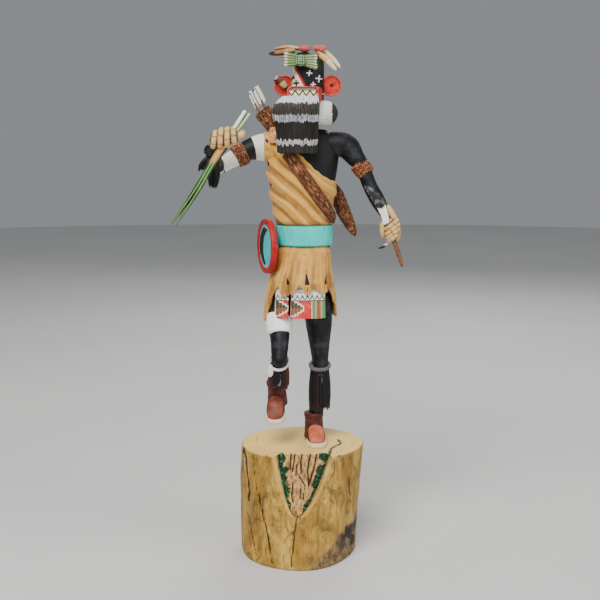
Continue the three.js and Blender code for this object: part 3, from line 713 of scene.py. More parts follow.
def root_material(paints):
    """Weathered skin, sawn top, heartwood, moss and low bark, each where the form says."""
    f = Finish("Root wood", roughness=0.7)
    n = f.n
    wood = n.group(wood_group(), Pale=tone(206, 168, 80), Ochre=paints.wood_dark, Grey=tone(92, 70, 34))
    where = n.place()
    height = n.parts(where)[2]
    sawn = n.step(n.up_facing(), 0.55, 0.85)
    waves = {"Vector": n.stretched(where, 1, 1, 0.1), "Scale": 46, "Distortion": 2.5, "Detail": 3,
             "Detail Scale": 1.5}
    rings = n.add("TexWave", waves, wave_type="RINGS", rings_direction="Z").outputs[1]
    top_light = n.scaled(n.noise(where, 60, 4, 0.6), 0.22, n.scaled(rings, 0.05, 0.87))
    top = n.add("HueSaturation", {"Value": top_light, "Color": paints.wood}).outputs[0]
    # Heartwood, seen in the fork.
    kind, wash = n.mark(), n.wash()
    heart_grain = n.noise(n.stretched(where, 1, 1, 0.12), 750, 4, 0.65)
    heart = n.mix(n.step(heart_grain, 0.3, 0.62), tone(104, 66, 32), tone(206, 162, 98))
    heart = n.mix(n.both(n.step(n.noise(where, 130, 3, 0.6), 0.5, 0.66), 0.35), heart, tone(88, 54, 26))
    # Moss in the gap of the fork and over the top.
    speck = n.noise(where, 1300, 3, 0.7)
    moss = n.mix(n.step(speck, 0.42, 0.6), tone(5, 18, 12), tone(20, 78, 44))
    moss = n.mix(n.step(n.noise(where, 620, 3, 0.7), 0.56, 0.66), moss, tone(122, 150, 88))
    # Bare brown bark low on one side, with a cavity in it painted dark as its shadow.
    across, ahead, _ = n.parts(n.doll())
    slope = n.scaled(across, -0.75, n.scaled(slow_edge(n), 26.0, height_mm(n)))
    low_bark = n.both(n.step(slope, -66.0, -72.0), n.step(across, 3, 12))
    bark_grain = n.noise(n.stretched(where, 1, 1, 0.5), 400, 5, 0.7)
    bark = n.mix(n.step(bark_grain, 0.35, 0.65), tone(70, 48, 28), tone(150, 122, 80))
    low_bark = n.both(low_bark, n.step(ahead, 0.0, -10.0))
    hollow_shadow = n.both(n.step(slope, -70.0, -73.0), n.step(slope, -84.0, -74.0))
    bark = n.mix(n.both(hollow_shadow, n.step(across, 24, 33)), bark, tone(34, 20, 10))
    skin = n.mix(low_bark, wood["Colour"], bark)
    # Painted highlight: a pale band along the rounded lip round the fork's opening.
    lip = n.both(n.step(kind, -0.15, -0.8), n.scaled(slow_edge(n), 0.9, -0.15, clamp=True))
    skin = n.mix(lip, skin, tone(232, 192, 104))
    body = n.mix(n.both(sawn, n.step(height, 0.079, 0.0795)), skin, top)
    body = n.mix(n.inside(kind, 0.5, 1.4, 0.12), body, heart)
    body = n.mix(n.step(kind, 1.4, 1.6), body, moss)
    # Painted shade: the cracks, holes and grooves of the skin and heartwood, and the seams of the sawn top, go
    # nearly black; the heartwood's grain darkens a little too.
    dark = n.both(n.step(wash, 0.15, 0.75), 0.92)
    f.colour(n.mix(dark, body, tone(20, 11, 5)))
    f.rough(n.scaled(heart_grain, 0.25, 0.5))
    f.bump(n.scaled(n.both(speck, n.step(kind, 1.4, 1.6)), 4.0, wood["Height"]), 0.3)
    return f.material


class DOLL_OT_root_base(bpy.types.Operator):
    """Carve the forked root with its heartwood, moss, cracks and sawn top"""
    bl_idname = "doll.root_base"
    bl_label = "Root Base"

    def execute(self, context):
        wood = root_material(context.scene.doll_paints)
        grid_piece("Root_base", 380, 150, root_place, wood, "root_base", "base_wood", False, 50)
        return {"FINISHED"}


# ---- the body and its dress ----
TORSO = (
    [0, 3, 100, 18, 12], [1, 3, 118, 20.5, 13.5], [2.5, 2.5, 136, 19.5, 13.6], [3, 2, 154, 18.3, 13.4],
    [2.3, 2, 173, 20.6, 14], [1.9, 2, 192, 23.4, 14.6], [2.2, 2, 208, 25.4, 14.6], [2.4, 2, 220, 25.8, 13],
    [2.8, 2, 227, 23.5, 10.5], [3.2, 2, 231, 16, 7],
)
NECKLINE = ([-17, 236], [-15.5, 226], [-9, 218], [2, 210.5], [10.5, 202], [17.5, 196.5], [27.5, 191.5],
            [45, 191.5])
SKIRT = (
    [0.2, 2.5, 93, 26.6, 23.6], [0.4, 2.3, 107, 25.3, 22.4], [1.1, 2, 122, 23, 20.6], [2.4, 2, 136, 20.2, 17.2],
    [3, 2, 149, 19.2, 14.4],
)
HEM = (
    [-22.7, 88], [-22.2, 98], [-21, 108], [-19, 115], [-15.8, 119.5], [-13.5, 110.5], [-8, 112.5], [-4, 114.5],
    [-0.5, 120.5], [2.4, 115.5], [5, 112], [7.6, 115], [10.2, 117], [13, 115.5], [17, 112.5], [20.6, 115],
    [21.8, 118], [23.6, 111], [25, 102], [25.5, 88],
)
BELT = ([3, 2, 146, 19.6, 14.9], [3, 2, 154, 19.9, 15.2], [3, 2, 162, 19.9, 15.2])
SHOULDER_CAP = ([-12, 2, 217, 10.2, 10.4], [-20, 2, 217, 10.9, 11], [-27.6, 1.8, 216.8, 10.5, 10.3])
SHOULDER_HOLE = (-23.4, 221.6)
LACE_SLITS = ([-24.1, 219.5], [-23.4, 204.6], [-22.4, 189], [-21.2, 170.5])
# Slits over the hem as [x, height of the middle, half width, half length].
HEM_SLITS = ([-9.3, 122.6, 1.3, 2.8], [5, 123.8, 2.1, 4.0], [18.7, 123.8, 1.5, 4.2])
SKIRT_FOOT, SKIRT_TOP, SKIRT_INNER_TOP = 88, 148.8, 128
INNER_END = 0.22  # share of the skirt's rows that lie on its inner side
# The strap's middle line falls across the chest towards the left.
STRAP_MIDDLE, STRAP_FALL, STRAP_WIDTH = 189.5, 41 / 29, 9.4
HEIGHT_SHARES = {}  # the shares found so far by height_share


def height_share(stations, z):
    """The share along upright stations at which their curve has a height, to a hundredth of a millimetre."""
    key = (id(stations), round(z, 2))
    if key not in HEIGHT_SHARES:
        low, high = 0.0, 1.0
        for _ in range(18):
            middle = (low + high) / 2
            low, high = (middle, high) if curve(stations, middle)[2] < key[1] else (low, middle)
        HEIGHT_SHARES[key] = low
    return HEIGHT_SHARES[key]


def folds(x, z):
    """Height of the carved folds that run down across the dress, from -1 to 1."""
    across = (x * 0.66 + z * 0.75) / 9.5 + 0.5 * fine(x, z, 0, 0.05, 11)
    fade = ease(146, 172, z) * (1 - 0.7 * ease(200, 222, z))
    broad = cos(TURN * across)
    return fade * (broad + 0.35 * cos(TURN * (across * 2.3 + 0.3 * x / 20)))


def hide_material(paints):
    """Painted buckskin: rubbed tan, painted shade of brown in the hollows of the folds, and marks cut through
    to the dark.
    """
    f = Finish("Painted hide", roughness=0.62, sheen=0.15)
    n = f.n
    where = n.place()
    brushed = n.group(brushwork_group(), Colour=paints.hide, Drift=0.3, Rubbed=0.0)
    # Painted shade: where the form asks, in the hollows of folds and wrinkles, the hide darkens towards the
    # hide shade.
    wash = n.scaled(n.minus(n.noise(where, 160, 5, 0.65, 0.4), 0.5), 0.7, n.wash())
    body = n.mix(n.both(n.step(wash, 0.3, 0.95), 0.8), brushed["Colour"], paints.hide_shade)
    pale = n.both(n.step(n.noise(where, 95, 4, 0.6), 0.55, 0.75), 0.35)
    body = n.mix(pale, body, tone(232, 198, 140))
    f.colour(n.mix(n.step(n.mark(), 0.35, 0.65), body, tone(34, 22, 12)))
    f.rough(brushed["Roughness"])
    f.bump(n.scaled(n.noise(where, 650, 4, 0.6), 1.2, brushed["Height"]), 0.22)
    return f.material


def paint(name, colour, drift, rubbed, roughness=0.6):
    """One plain brushed paint."""
    return Finish(name, roughness=roughness).brushed(colour, drift, rubbed)


class DOLL_OT_torso(bpy.types.Operator):
    """Carve the black painted body"""
    bl_idname = "doll.torso"
    bl_label = "Torso"

    def execute(self, context):
        material = paint("Body black", context.scene.doll_paints.black, 0.9, 0.0)
        body = Sweep(TORSO)

        def muscle(u, v, point):
            facing = TURN * (u - 0.5)
            chest = (bell(facing, 0.55, 0.5) + bell(facing, -0.55, 0.5)) * bell(point.z, 205, 9)
            return 0.6 * chest - 0.5 * bell(facing, 0.05, 0.16) * bell(point.z, 200, 16)

        swept_piece("Torso", body, 96, 110, material, muscle)
        return {"FINISHED"}


class DOLL_OT_dress(bpy.types.Operator):
    """Carve the hide dress over one shoulder, and its flared, scalloped skirt"""
    bl_idname = "doll.dress"
    bl_label = "Hide Dress"

    def execute(self, context):
        sizes, paints = context.scene.doll_sizes, context.scene.doll_paints
        cloth, depth = sizes.hide_thickness / MM, sizes.fold_depth / MM
        material = hide_material(paints)
        first, last = height_share(TORSO, 147), height_share(TORSO, 230.5)
        body = Sweep(TORSO)

        def place(u, v):
            share = lerp(first, last, v)
            skin = body.at(u, share)
            edge = along_line(NECKLINE, skin.x) - skin.z
            if skin.z > 205 and skin.x < -12:
                edge = 10  # the hide covers all of the right shoulder
            edge += 0.25 * sin(skin.x * 1.1) * (1 if skin.y < 0 else 0)
            laid = ease(-0.5, 0.9, edge)
            fold = folds(22 * sin(TURN * (u - 0.5)), skin.z)
            rolled = 0.35 * bell(edge, 1.6, 1.1)
            cut = 0.0
            if skin.y < 4:
                for x, z in LACE_SLITS:
                    off = abs(skin.x - x - 1.5) / 2.1 + abs(skin.z - z - 0.5 * (skin.x - x)) / 3.0
                    cut = max(cut, ease(0.5, 1.0, 1.5 - off))
            out = lerp(-0.9, cloth + depth * 0.75 * fold + rolled, laid) - 1.4 * cut
            out = lerp(-0.8, out, ease(160.4, 163.2, skin.z))
            # Painted shade: darker in the hollows of the folds and where the hide tucks under the belt, and not
            # darkened along the rolled edge.
            wash = 0.52 - 0.36 * fold - 0.45 * bell(edge, 1.2, 1.6) + 0.3 * bell(skin.z, 163, 2)
            return body.at(u, share, out), wash, cut

        grid_piece("Hide_top", 300, 210, place, material)
        cap = Sweep(SHOULDER_CAP, across=(0, 0, 1), ends=(0.1, 0.2))

        def shoulder(u, v):
            point = cap.at(u, v)
            hole = 0.0
            if point.y < 2:
                above = point.z - SHOULDER_HOLE[1]
                off = abs(point.x - SHOULDER_HOLE[0] + 0.3 * above) / 1.8 + abs(above) / 2.9
                hole = ease(0.5, 1.0, 1.5 - off)
            wrinkle = 0.3 * cos(point.z * 0.9 + point.x * 0.35) + 0.3 * fine(*point, 0.25, 24)
            # Painted shade: darker in the hollows of the wrinkles and towards the cap's inner end, against the
            # body.
            return cap.at(u, v, wrinkle * (1 - hole)), 0.35 - 0.5 * wrinkle + 0.35 * bell(v, 0.0, 0.3), hole

        grid_piece("Hide_shoulder", 110, 80, shoulder, material)
        self.skirt(material)
        return {"FINISHED"}

    def skirt(self, material):
        wall = Sweep(SKIRT, power=2.5)

        def place(u, v):
            facing = TURN * (u - 0.5)
            probe = wall.at(u, 0.35)
            saw = abs(((facing * 21) / 5.5) % 1 - 0.5) * 2
            hem = lerp(93.5, 99.5, saw)
            if cos(facing) > 0.12:
                hem = sum(along_line(HEM, probe.x * 0.98 + shift) for shift in (-1.3, -0.65, 0, 0.65, 1.3)) / 5
            inner = v < INNER_END
            if inner:
                z = lerp(SKIRT_INNER_TOP, hem + 0.4, v / INNER_END)
            else:
                z = lerp(hem, SKIRT_TOP, ((v - INNER_END) / (1 - INNER_END)) ** 1.1)
            z = max(z, SKIRT_FOOT)
            share = height_share(SKIRT, z)
            point = wall.at(u, share)
            point.z = z
            wave = 0.5 * cos(facing * 9 + 0.6 * sin(3 * facing)) * ease(144, 118, z)
            wave += 0.3 * cos(facing * 31 + 2.2 * fine(facing * 2, z * 0.05, 0, 1, 22)) * ease(146, 126, z)
            wave += 0.4 * fine(point.x, point.y, z * 0.25, 0.3, 21)
            cut = 0.0
            if not inner and point.y < 0:
                for x, high, wide, tall in HEM_SLITS:
                    down = (high - z) / tall
                    half = wide * min(max(0.65 + 0.55 * down, 0.05), 1.0)
                    off = abs(point.x - x - 0.35 * down) / half * (1 if abs(down) < 1 else 9)
                    cut = max(cut, ease(0.5, 1.0, 1.5 - off))
            out = (-1.9 if inner else 0) + wave - 1.5 * cut - (0 if inner else 0.5 * bell(z, hem, 0.9))
            out -= 2.2 * ease(142.5, 147.5, z)
            moved = wall.at(u, share, out)
            moved.z = z
            lower = 0.35 * ease(134, 112, z) * (0.5 + fine(point.x, point.y, z * 0.3, 0.2, 23))
            # Painted shade: darker in the hollows of the waves and on the skirt's inner side. The skirt is also
            # darker towards the bottom and less dark along the hem.
            wash = 0.5 - 0.45 * wave + lower - 0.3 * bell(z, hem, 1.6) + (0.6 if inner else 0)
            return moved, wash, cut

        grid_piece("Hide_skirt", 320, 150, place, material)


def ribbon(form, path, thickness, columns, rows, relief=None):
    """A strap laid along path(v), which gives its middle and the way out of the surface."""

    def place(u, v):
        middle, outward = path(v)
        ahead, behind = path(min(v + 0.004, 1))[0], path(max(v - 0.004, 0))[0]
        wide = (ahead - behind).normalized().cross(outward).normalized()
        turn = TURN * u
        x, y = bent(cos(turn), 5) * STRAP_WIDTH / 2, bent(sin(turn), 3) * thickness / 2
        lift = relief(x / STRAP_WIDTH + 0.5, v) if relief and y > 0 else 0.0
        return middle + wide * x + outward * (y + lift)

    lay_grid(form, columns, rows, place)


def strap_height(x, lowest, highest):
    return min(max(STRAP_MIDDLE - (x - 8) * STRAP_FALL, lowest), highest)


class DOLL_OT_straps(bpy.types.Operator):
    """Carve the hatched strap, its patch over the shoulder painted pale as a highlight, and the turquoise belt
    """
    bl_idname = "doll.straps"
    bl_label = "Strap and Belt"

    def execute(self, context):
        paints = context.scene.doll_paints
        f = Finish("Hatched strap", roughness=0.7)
        f.colour(f.hatched(paints.brown, tone(48, 24, 12), 62, 13, 0.45))
        form = new_form()

        def path(v):
            x = torso_front(29 * sin(lerp(-0.5, 1.42, v)) * 0.9 + 2, STRAP_MIDDLE).x
            z = strap_height(x, 160, 214)
            return torso_front(x, z, 2.0), torso_normal(x, z)

        ribbon(form, path, 3.0, 40, 150, lambda side, v: 0.25 * fine(side * 9, v * 60, 0, 1, 31))

        def rear(v):
            x = lerp(25, -19, v)
            z = strap_height(x, 158, 224)
            front, out = torso_front(x, z, 2.0), torso_normal(x, z)
            return Vector((front.x, 4 - front.y, z)), Vector((out.x, -out.y, out.z))

        ribbon(form, rear, 3.0, 24, 90)
        finish_piece(form, "Shoulder_strap", f.material)

        def over_shoulder(v):
            lean = lerp(radians(76), radians(-50), v)
            out = Vector((0, -sin(lean), cos(lean)))
            return Vector((-17.0, 2, 217)) + out * 12.9, out

        # Painted highlight: the strap where it crosses the top of the shoulder, in a pale copy of its hatching.
        patch = Finish("Rubbed shoulder hide", roughness=0.7)
        patch.colour(patch.hatched(tone(228, 176, 116), tone(170, 104, 60), 16, 6, 0.3))
        form = new_form()
        ribbon(form, over_shoulder, 2.6, 36, 70, lambda side, v: 0.25 * fine(side * 9, v * 40, 0, 1, 32))
        finish_piece(form, "Shoulder_patch", patch.material)
        self.belt(paints)
        return {"FINISHED"}

    def belt(self, paints):
        belt = Finish("Belt turquoise", roughness=0.5)
        n = belt.n
        z = n.parts(n.doll())[2]
        scuff = n.both(n.step(n.noise(n.stretched(n.place(), 1, 1, 0.35), 420, 4, 0.7), 0.56, 0.68), 0.4)
        scuffed = n.mix(scuff, paints.turquoise, tone(180, 222, 218))
        made = n.group(brushwork_group(), Colour=scuffed, Drift=0.4, Rubbed=0.1)
        # Painted shade: a darker teal along the top and bottom edges, where the belt turns in against the body.
        edge = n.minus(1.0, n.inside(z, 147.2, 161, 0.5))
        belt.colour(n.mix(n.both(edge, 0.55), made["Colour"], tone(26, 96, 100)))
        belt.rough(made["Roughness"])
        belt.bump(made["Height"], 0.2)

        def folded(u, v, point):
            crease = 0.3 * fine(u * 40, v * 2, 0, 1, 41) + 0.12 * fine(u * 110, v * 3, 0, 1, 42)
            return 0.6 + crease - 1.2 * (bell(v, 0, 0.05) + bell(v, 1, 0.05)) + 0.3 * sin(pi * v)

        swept_piece("Belt", Sweep(BELT, ends=(0.04, 0.04)), 220, 40, belt.material, folded)


def torso_front(x, z, out=0.0):
    """The point of the torso's front over x at a height, out from its skin."""
    middle_x, middle_y, _, wide, deep = curve(TORSO, height_share(TORSO, z))
    s = min(max((x - middle_x) / (wide + out), -0.995), 0.995)
    return Vector((middle_x + s * (wide + out), middle_y - sqrt(1 - s * s) * (deep + out), z))


def torso_normal(x, z):
    """The way out of the torso's front over x at a height."""
    middle_x, middle_y, _, wide, deep = curve(TORSO, height_share(TORSO, z))
    point = torso_front(x, z)
    return Vector(((point.x - middle_x) / wide**2, (point.y - middle_y) / deep**2, 0)).normalized()


# ---- the sash between the legs ----
APRON = ([0.5, 2, 95, 22, 20.2], [0.5, 2, 109, 21, 18.8], [0.5, 2, 124, 19.6, 16.8])
UNDERSKIRT = ([0.5, 0, 93, 19.4, 12.6], [0.5, 0, 110, 18.8, 13.2], [0.5, 0, 122, 17, 12.6])
# Steps of a cloud as [distance from its blunt end, half height there].
CLOUD_STEPS = ((0.0, 5.2), (2.4, 3.9), (4.6, 2.5), (6.8, 1.2), (8.4, 0.0))
CLOUD_HEIGHT = 102.8
CLOUD_LEFTS = (-17.4, -6.4)
# Upright stripes of the red band as (from, to, colour).
SASH_STRIPES = (
    (8.3, 8.8, (236, 220, 190)), (8.8, 11.2, (86, 146, 92)), (11.2, 11.8, (206, 196, 160)),
    (11.8, 15.0, (158, 92, 54)), (15.0, 15.6, (206, 196, 160)), (15.6, 19, (104, 152, 96)),
)


def apron_point(x, z, out):
    """A point on the front of the sash over x at a height."""
    middle_x, middle_y, _, wide, deep = curve(APRON, (z - 95) / 29)
    s = min(abs((x - middle_x) / (wide + out)), 0.999)
    return Vector((x, middle_y - (deep + out) * (1 - s**3.2) ** (1 / 3.2), z))


def stepped_cloud(n, x, z, left):
    """The stepped wedge of a cloud that points along +X: grown by the line drawn round it, and without."""
    shapes = []
    for grow in (0.9, 0.0):
        mask = 0.0
        for (x0, half), (x1, _) in zip(CLOUD_STEPS, CLOUD_STEPS[1:]):
            near = n.inside(x, left + x0 - grow, left + x1 + grow, 0.12)
            tall = n.step(n.away(z, CLOUD_HEIGHT), half + grow + 0.12, half + grow - 0.12)
            mask = n.sum("MAXIMUM", mask, n.both(near, tall))
        shapes.append(mask)
    return shapes


def sash_material(paints):
    """White cloth with a row of teeth along its edge, over a red band with stepped clouds and striped ends."""
    f = Finish("Painted sash", roughness=0.6)
    n = f.n
    x, _, z = n.parts(n.doll())
    wobble = n.both(n.minus(n.noise(n.place(), 330, 2), 0.5), 0.7)
    x, z = n.plus(x, wobble), n.plus(z, wobble)
    band = n.mix(n.patches(240, 3, 0.4, 0.7), tone(204, 44, 42), tone(222, 84, 78))
    for left in CLOUD_LEFTS:
        outline, fill = stepped_cloud(n, x, z, left)
        band = n.mix(outline, band, tone(238, 222, 196))
        upper = n.mix(n.step(z, 102.4, 103.2), tone(150, 84, 52), tone(58, 74, 52))
        band = n.mix(fill, band, n.mix(n.patches(520, 2, 0.5, 0.6), upper, tone(92, 62, 44)))
    for low, high, colour in SASH_STRIPES:
        band = n.mix(n.inside(x, low, high, 0.12), band, tone(*colour))
    row = n.repeated(n.sum("DIVIDE", x, 3.5), 1.0)
    peak = n.scaled(n.away(row, 0.5), -7.0, 111.0)
    under = n.step(n.minus(n.plus(peak, 1.9), z), 0.0, 0.3)
    tooth = n.both(n.step(z, peak, n.plus(peak, 0.3)), under)
    white = n.mix(n.both(tooth, n.step(z, 108.8, 109.2)), paints.white, tone(44, 42, 36))
    ties = n.both(n.inside(x, -1.6, 1.8, 0.3), n.step(n.repeated(z, 2.6), 1.9, 2.1))
    white = n.mix(n.both(ties, n.step(z, 111.8, 112.2)), white, tone(40, 38, 34))
    paint_colour = n.mix(n.step(z, 108.3, 108.7), band, white)
    paint_colour = n.mix(n.inside(z, 108.1, 108.7, 0.1), paint_colour, tone(38, 42, 32))
    made = n.group(brushwork_group(), Colour=paint_colour, Drift=0.22, Rubbed=0.12)
    f.colour(n.mix(n.both(n.wash(), 0.7), made["Colour"], tone(50, 34, 26)))
    f.rough(made["Roughness"])
    f.bump(n.scaled(paint_colour, 0.5, made["Height"]), 0.15)
    return f.material


class DOLL_OT_sash(bpy.types.Operator):
    """Carve the two panels of the sash and the cloth behind them"""
    bl_idname = "doll.sash"
    bl_label = "Sash"

    def execute(self, context):
        form = new_form()
        for left, right, lean in ((-17.6, -7.5, -1.0), (-6.9, 18.6, 0.0)):

            def place(u, v, left=left, right=right, lean=lean):
                turn = TURN * u
                x = bent(cos(turn), 8)
                deep = bent(sin(turn), 3)
                z = lerp(95.4, 124, v)
                middle, half = (left + right) / 2, (right - left) / 2
                across = middle + x * (1 - 0.05 * v) * half
                bulge = 0.35 * sin(across * 0.9) * ease(112, 118, z) + 0.25 * bell(z, 108.5, 0.8)
                out = -1.2 + deep * 1.2 + (bulge if deep > 0 else 0)
                return apron_point(across + lean * (1 - v), z, out), 0.5 * bell(abs(x), 1, 0.05)

            lay_grid(form, 150, 90, place)
        finish_piece(form, "Sash_panels", sash_material(context.scene.doll_paints))

        backing = Sweep(UNDERSKIRT, power=3, ends=(0.05, 0.05))
        dark = paint("Underskirt black", context.scene.doll_paints.black, 0.6, 0.05)
        swept_piece("Underskirt", backing, 110, 40, dark,
                    lambda u, v, p: 0.5 * sin(u * 60) * (1 - v) - (2.4 if p.y < -9 else 0))
        return {"FINISHED"}


# ---- legs ----
STANDING_LEG = (
    [11.2, 9, 6, 5.5, 6], [11.6, 8.5, 16, 5, 5.4], [13, 6.5, 32, 6.1, 6.4], [14.6, 4, 47, 5.5, 5.8],
    [14.9, 2, 57, 5.5, 5.8], [14.4, 2.5, 72, 7.3, 7.6], [13.7, 3, 91, 9.9, 10.2], [12.6, 3, 110, 10.6, 11],
)
RAISED_THIGH = (
    [-15.2, -22.6, 62.5, 4.6, 5.2], [-15, -20, 66, 5.5, 5.9], [-14.6, -14, 78, 6.6, 7], [-15, -7, 92, 8.2, 8.4],
    [-12.6, 3, 112, 10, 10],
)
RAISED_SHIN = (
    [-16.5, 10.5, 38.6, 4.9, 5.3], [-16, -2, 50, 6, 6.2], [-15, -20, 66, 5.3, 5.4],
    [-14.8, -23.4, 68.6, 3.4, 3.4],
)
THIGH_CLOTH = ([-14.9, -10.6, 83, 8.5, 8.8], [-15.1, -7, 89.6, 9.1, 9.3], [-14.9, -3.8, 96.4, 9.3, 9.5])
KNEE_TIES = (
    {"centre": (14.6, 3.2, 54.6), "tilt": 22, "radius": 6.3, "length": 34},
    {"centre": (-15.4, -14.8, 61), "tilt": 42, "radius": 6.4, "length": 19},
)


def leg_material(paints, name, bands):
    """Black leg paint with a painted sheen in bluish grey patches, and ragged white bands, each given by its
    range along the leg's length.
    """
    f = Finish(name, roughness=0.55)
    n = f.n
    share = n.parts(n.surface())[1]
    rough_edge = n.noise(n.place(), 420, 3, 0.6)
    # Painted sheen: bluish grey patches over the black.
    colour = n.mix(n.patches(120, 3, 0.5, 0.7), paints.black, tone(40, 42, 50))
    for low, high in bands:
        band = n.group(ragged_band_group(), Across=share, From=low, To=high, Soft=0.006, Ragged=0.02,
                       Noise=rough_edge)
        colour = n.mix(band["Mask"], colour, paints.white)
    return f.brushed(colour, 0.45, 0.14)


class DOLL_OT_legs(bpy.types.Operator):
    """Carve the standing leg and the raised leg"""
    bl_idname = "doll.legs"
    bl_label = "Legs"

    def execute(self, context):
        paints = context.scene.doll_paints

        def calf(u, v, point):
            return 0.35 * sin(TURN * (u - 0.5) * 2) * sin(pi * v) + 0.12 * fine(u * 12, v * 30, 0, 1, 51)

        plain = leg_material(paints, "Standing leg paint", [(-0.2, 0.0)])
        swept_piece("Standing_leg", Sweep(STANDING_LEG), 64, 120, plain, calf)
        thigh = leg_material(paints, "Raised thigh paint", [(0.6, 0.79)])
        swept_piece("Raised_thigh", Sweep(RAISED_THIGH, ends=(0.16, 0)), 64, 110, thigh, calf)
        shin = leg_material(paints, "Raised shin paint", [(0.9, 1.1)])
        swept_piece("Raised_shin", Sweep(RAISED_SHIN, ends=(0, 0.2)), 64, 90, shin, calf)
        white = paint("Thigh white", tone(246, 244, 240), 0.2, 0.05)
        swept_piece("Thigh_cloth", Sweep(THIGH_CLOTH, ends=(0.05, 0.05)), 80, 50, white,
                    lambda u, v, p: 0.25 * fine(u * 18, v * 6, 0, 1, 52) + 0.3 * sin(pi * v))
        return {"FINISHED"}


def strand(form, stations, across, columns=10, rows=14, ends=(0.0, 0.12), wash=0.0):
    """Adds one plain strip or cord."""
    sweep = Sweep(stations, across=across, power=2.6, ends=ends)
    lay_sweep(form, sweep, columns, rows, lambda u, v, p: (0.0, wash))


class DOLL_OT_knee_fringes(bpy.types.Operator):
    """Carve the cord tied below each knee, its white garter and the fringe of strips that hangs from it"""
    bl_idname = "doll.knee_fringes"
    bl_label = "Knee Fringes"

    def execute(self, context):
        paints, sizes = context.scene.doll_paints, context.scene.doll_sizes
        f = Finish("Fringe black", roughness=0.6)
        n = f.n
        along_strip = n.parts(n.surface())[1]
        # Rust at the foot of some strips.
        tipped = n.step(n.scaled(n.noise(n.place(), 300, 2), 0.3, along_strip), 1.02, 1.2)
        colour = n.mix(n.wash(), paints.black, tone(66, 26, 16))
        rust = n.both(tipped, n.patches(160, 2, 0.46, 0.56))
        black = f.brushed(n.mix(n.both(rust, 0.85), colour, tone(120, 58, 34)), 0.7, 0.06)
        white = paint("Garter white", tone(206, 202, 196), 0.5, 0.12)
        grey = paint("Knee cord grey", tone(88, 88, 90), 0.7, 0.1)
        rng = random.Random(7)
        for side, knee in zip(("left", "right"), KNEE_TIES):
            centre, radius, length = Vector(knee["centre"]), knee["radius"], knee["length"]
            form = new_form()
            tilt = radians(knee["tilt"])
            width = sizes.fringe_width / MM / 2
            for k in range(sizes.strands * 2):
                facing = TURN * (k / (sizes.strands * 2)) + 0.1 + rng.uniform(-0.05, 0.05)
                across, ahead = sin(facing), -cos(facing)
                lift = 0.6 - cos(facing) * radius * tan(tilt) * 0.25
                top = centre + Vector((across * (radius - 0.3), ahead * (radius - 0.3), lift))
                drop = length * (1 - 0.25 * (1 - cos(facing)) / 2) * rng.uniform(0.82, 1.0)
                flare = (1.1 if side == "left" else 0.8) + rng.uniform(-0.4, 0.4)
                brown = ease(0.5, 0.8, abs(across)) if side == "right" else 0.3 * ease(0.6, 1, rng.random())
                foot = centre + Vector((across * (radius + flare), ahead * (radius + flare - 1), -drop))
                middle = top.lerp(foot, 0.45) + Vector((across, ahead, 0)) * 0.3
                stations = [[*top, width * 0.72, 0.8], [*middle, width, 0.95], [*foot, width * 0.95, 0.6]]
                strand(form, stations, (-ahead, across, 0), wash=brown)
            finish_piece(form, f"Fringe_{side}", black)
            self.tie(side, centre, radius, tilt, white, grey)
        return {"FINISHED"}

    def tie(self, side, centre, radius, tilt, white, grey):
        def band(u, v):
            facing, turn = TURN * v, TURN * u
            fluff = 0.1 * sin(facing * 26 + turn) + 0.2 * fine(facing * 6, turn * 2, 0, 1, 53)
            cord = (0.9 if side == "right" else 1.5) + fluff
            out = radius + 0.7 + cos(turn) * cord * 0.8
            x, y = sin(facing) * out, -cos(facing) * out
            return centre + Vector((x, y, sin(turn) * cord + y * tan(tilt) * 0.75 + 2.6))

        grid_piece(f"Garter_{side}", 16, 180, band, white if side == "right" else grey)
        form = new_form()
        knot = centre + Vector((0.6, -radius * 0.9, -radius * tan(tilt) * 0.9 - 1.4))
        start, end = knot + Vector((-1.6, 0.4, 1.2)), knot + Vector((1.6, 0.6, -1.0))
        strand(form, [[*start, 0.6, 0.6], [*knot, 1.5, 1.3], [*end, 0.5, 0.5]], (0, 0, 1), ends=(0.3, 0.3))
        middle, end = knot + Vector((0.4, -0.8, -4)), knot + Vector((-0.5, -1, -8))
        strand(form, [[*knot, 0.9, 0.7], [*middle, 1.0, 0.6], [*end, 1.1, 0.5]], (1, 0, 0))
        finish_piece(form, f"Knee_cord_{side}", grey)
        if side == "right":
            flap = new_form()
            top = centre + Vector((-5.6, -4.6, 1.5))
            foot = centre + Vector((-6.4, -6.6, -7.5))
            stations = [[*top, 1.6, 0.8], [*top.lerp(foot, 0.6), 2.4, 1.0], [*foot, 1.8, 0.8]]
            strand(flap, stations, (1, -0.4, 0), 30, 40, (0.2, 0.25))
            finish_piece(flap, "Garter_flap", white)


# ---- moccasins ----
UPPER = ([0, 15.5, 5.6, 4.6, 3.6], [0, 8, 7, 6, 5], [0, -2, 6.8, 6.5, 6], [0, -11, 5.2, 6.4, 4],
         [0, -17.6, 4, 4.4, 1.8])
CUFF = (
    [0, 8, 2, 7.5, 9], [0, 8, 9, 6.9, 7.9], [-0.2, 8, 16, 6.7, 7.2], [-0.2, 8, 19.5, 7.3, 7.7],
    [-0.2, 8, 21, 6.9, 7.3],
)
SOLE = ([0, 18], [4.2, 16.4], [6.2, 10], [5.6, 2], [7.2, -6], [7.3, -13], [4.4, -18.6], [0, -19.7])
SOLE_RIM = (
    (0.0, 0.05), (0.9, 0.02), (0.985, 0.25), (1.0, 0.9), (1.0, 2.2), (0.97, 3.0), (0.86, 3.3), (0.0, 3.4),
)
# Each moccasin as its side, turn and place.
MOCCASINS = (("left", (0, 0, 5), (11.2, 0, 0)), ("right", (20, 0, -4), (-17.2, -2, 24.4)))


def sole_outline(u):
    """A point of the sole's edge, up its left side and back down its right."""
    turn = (u * 2) % 2
    half = curve(SOLE, turn if turn <= 1 else 2 - turn)
    return (half[0] if turn <= 1 else -half[0], half[1])


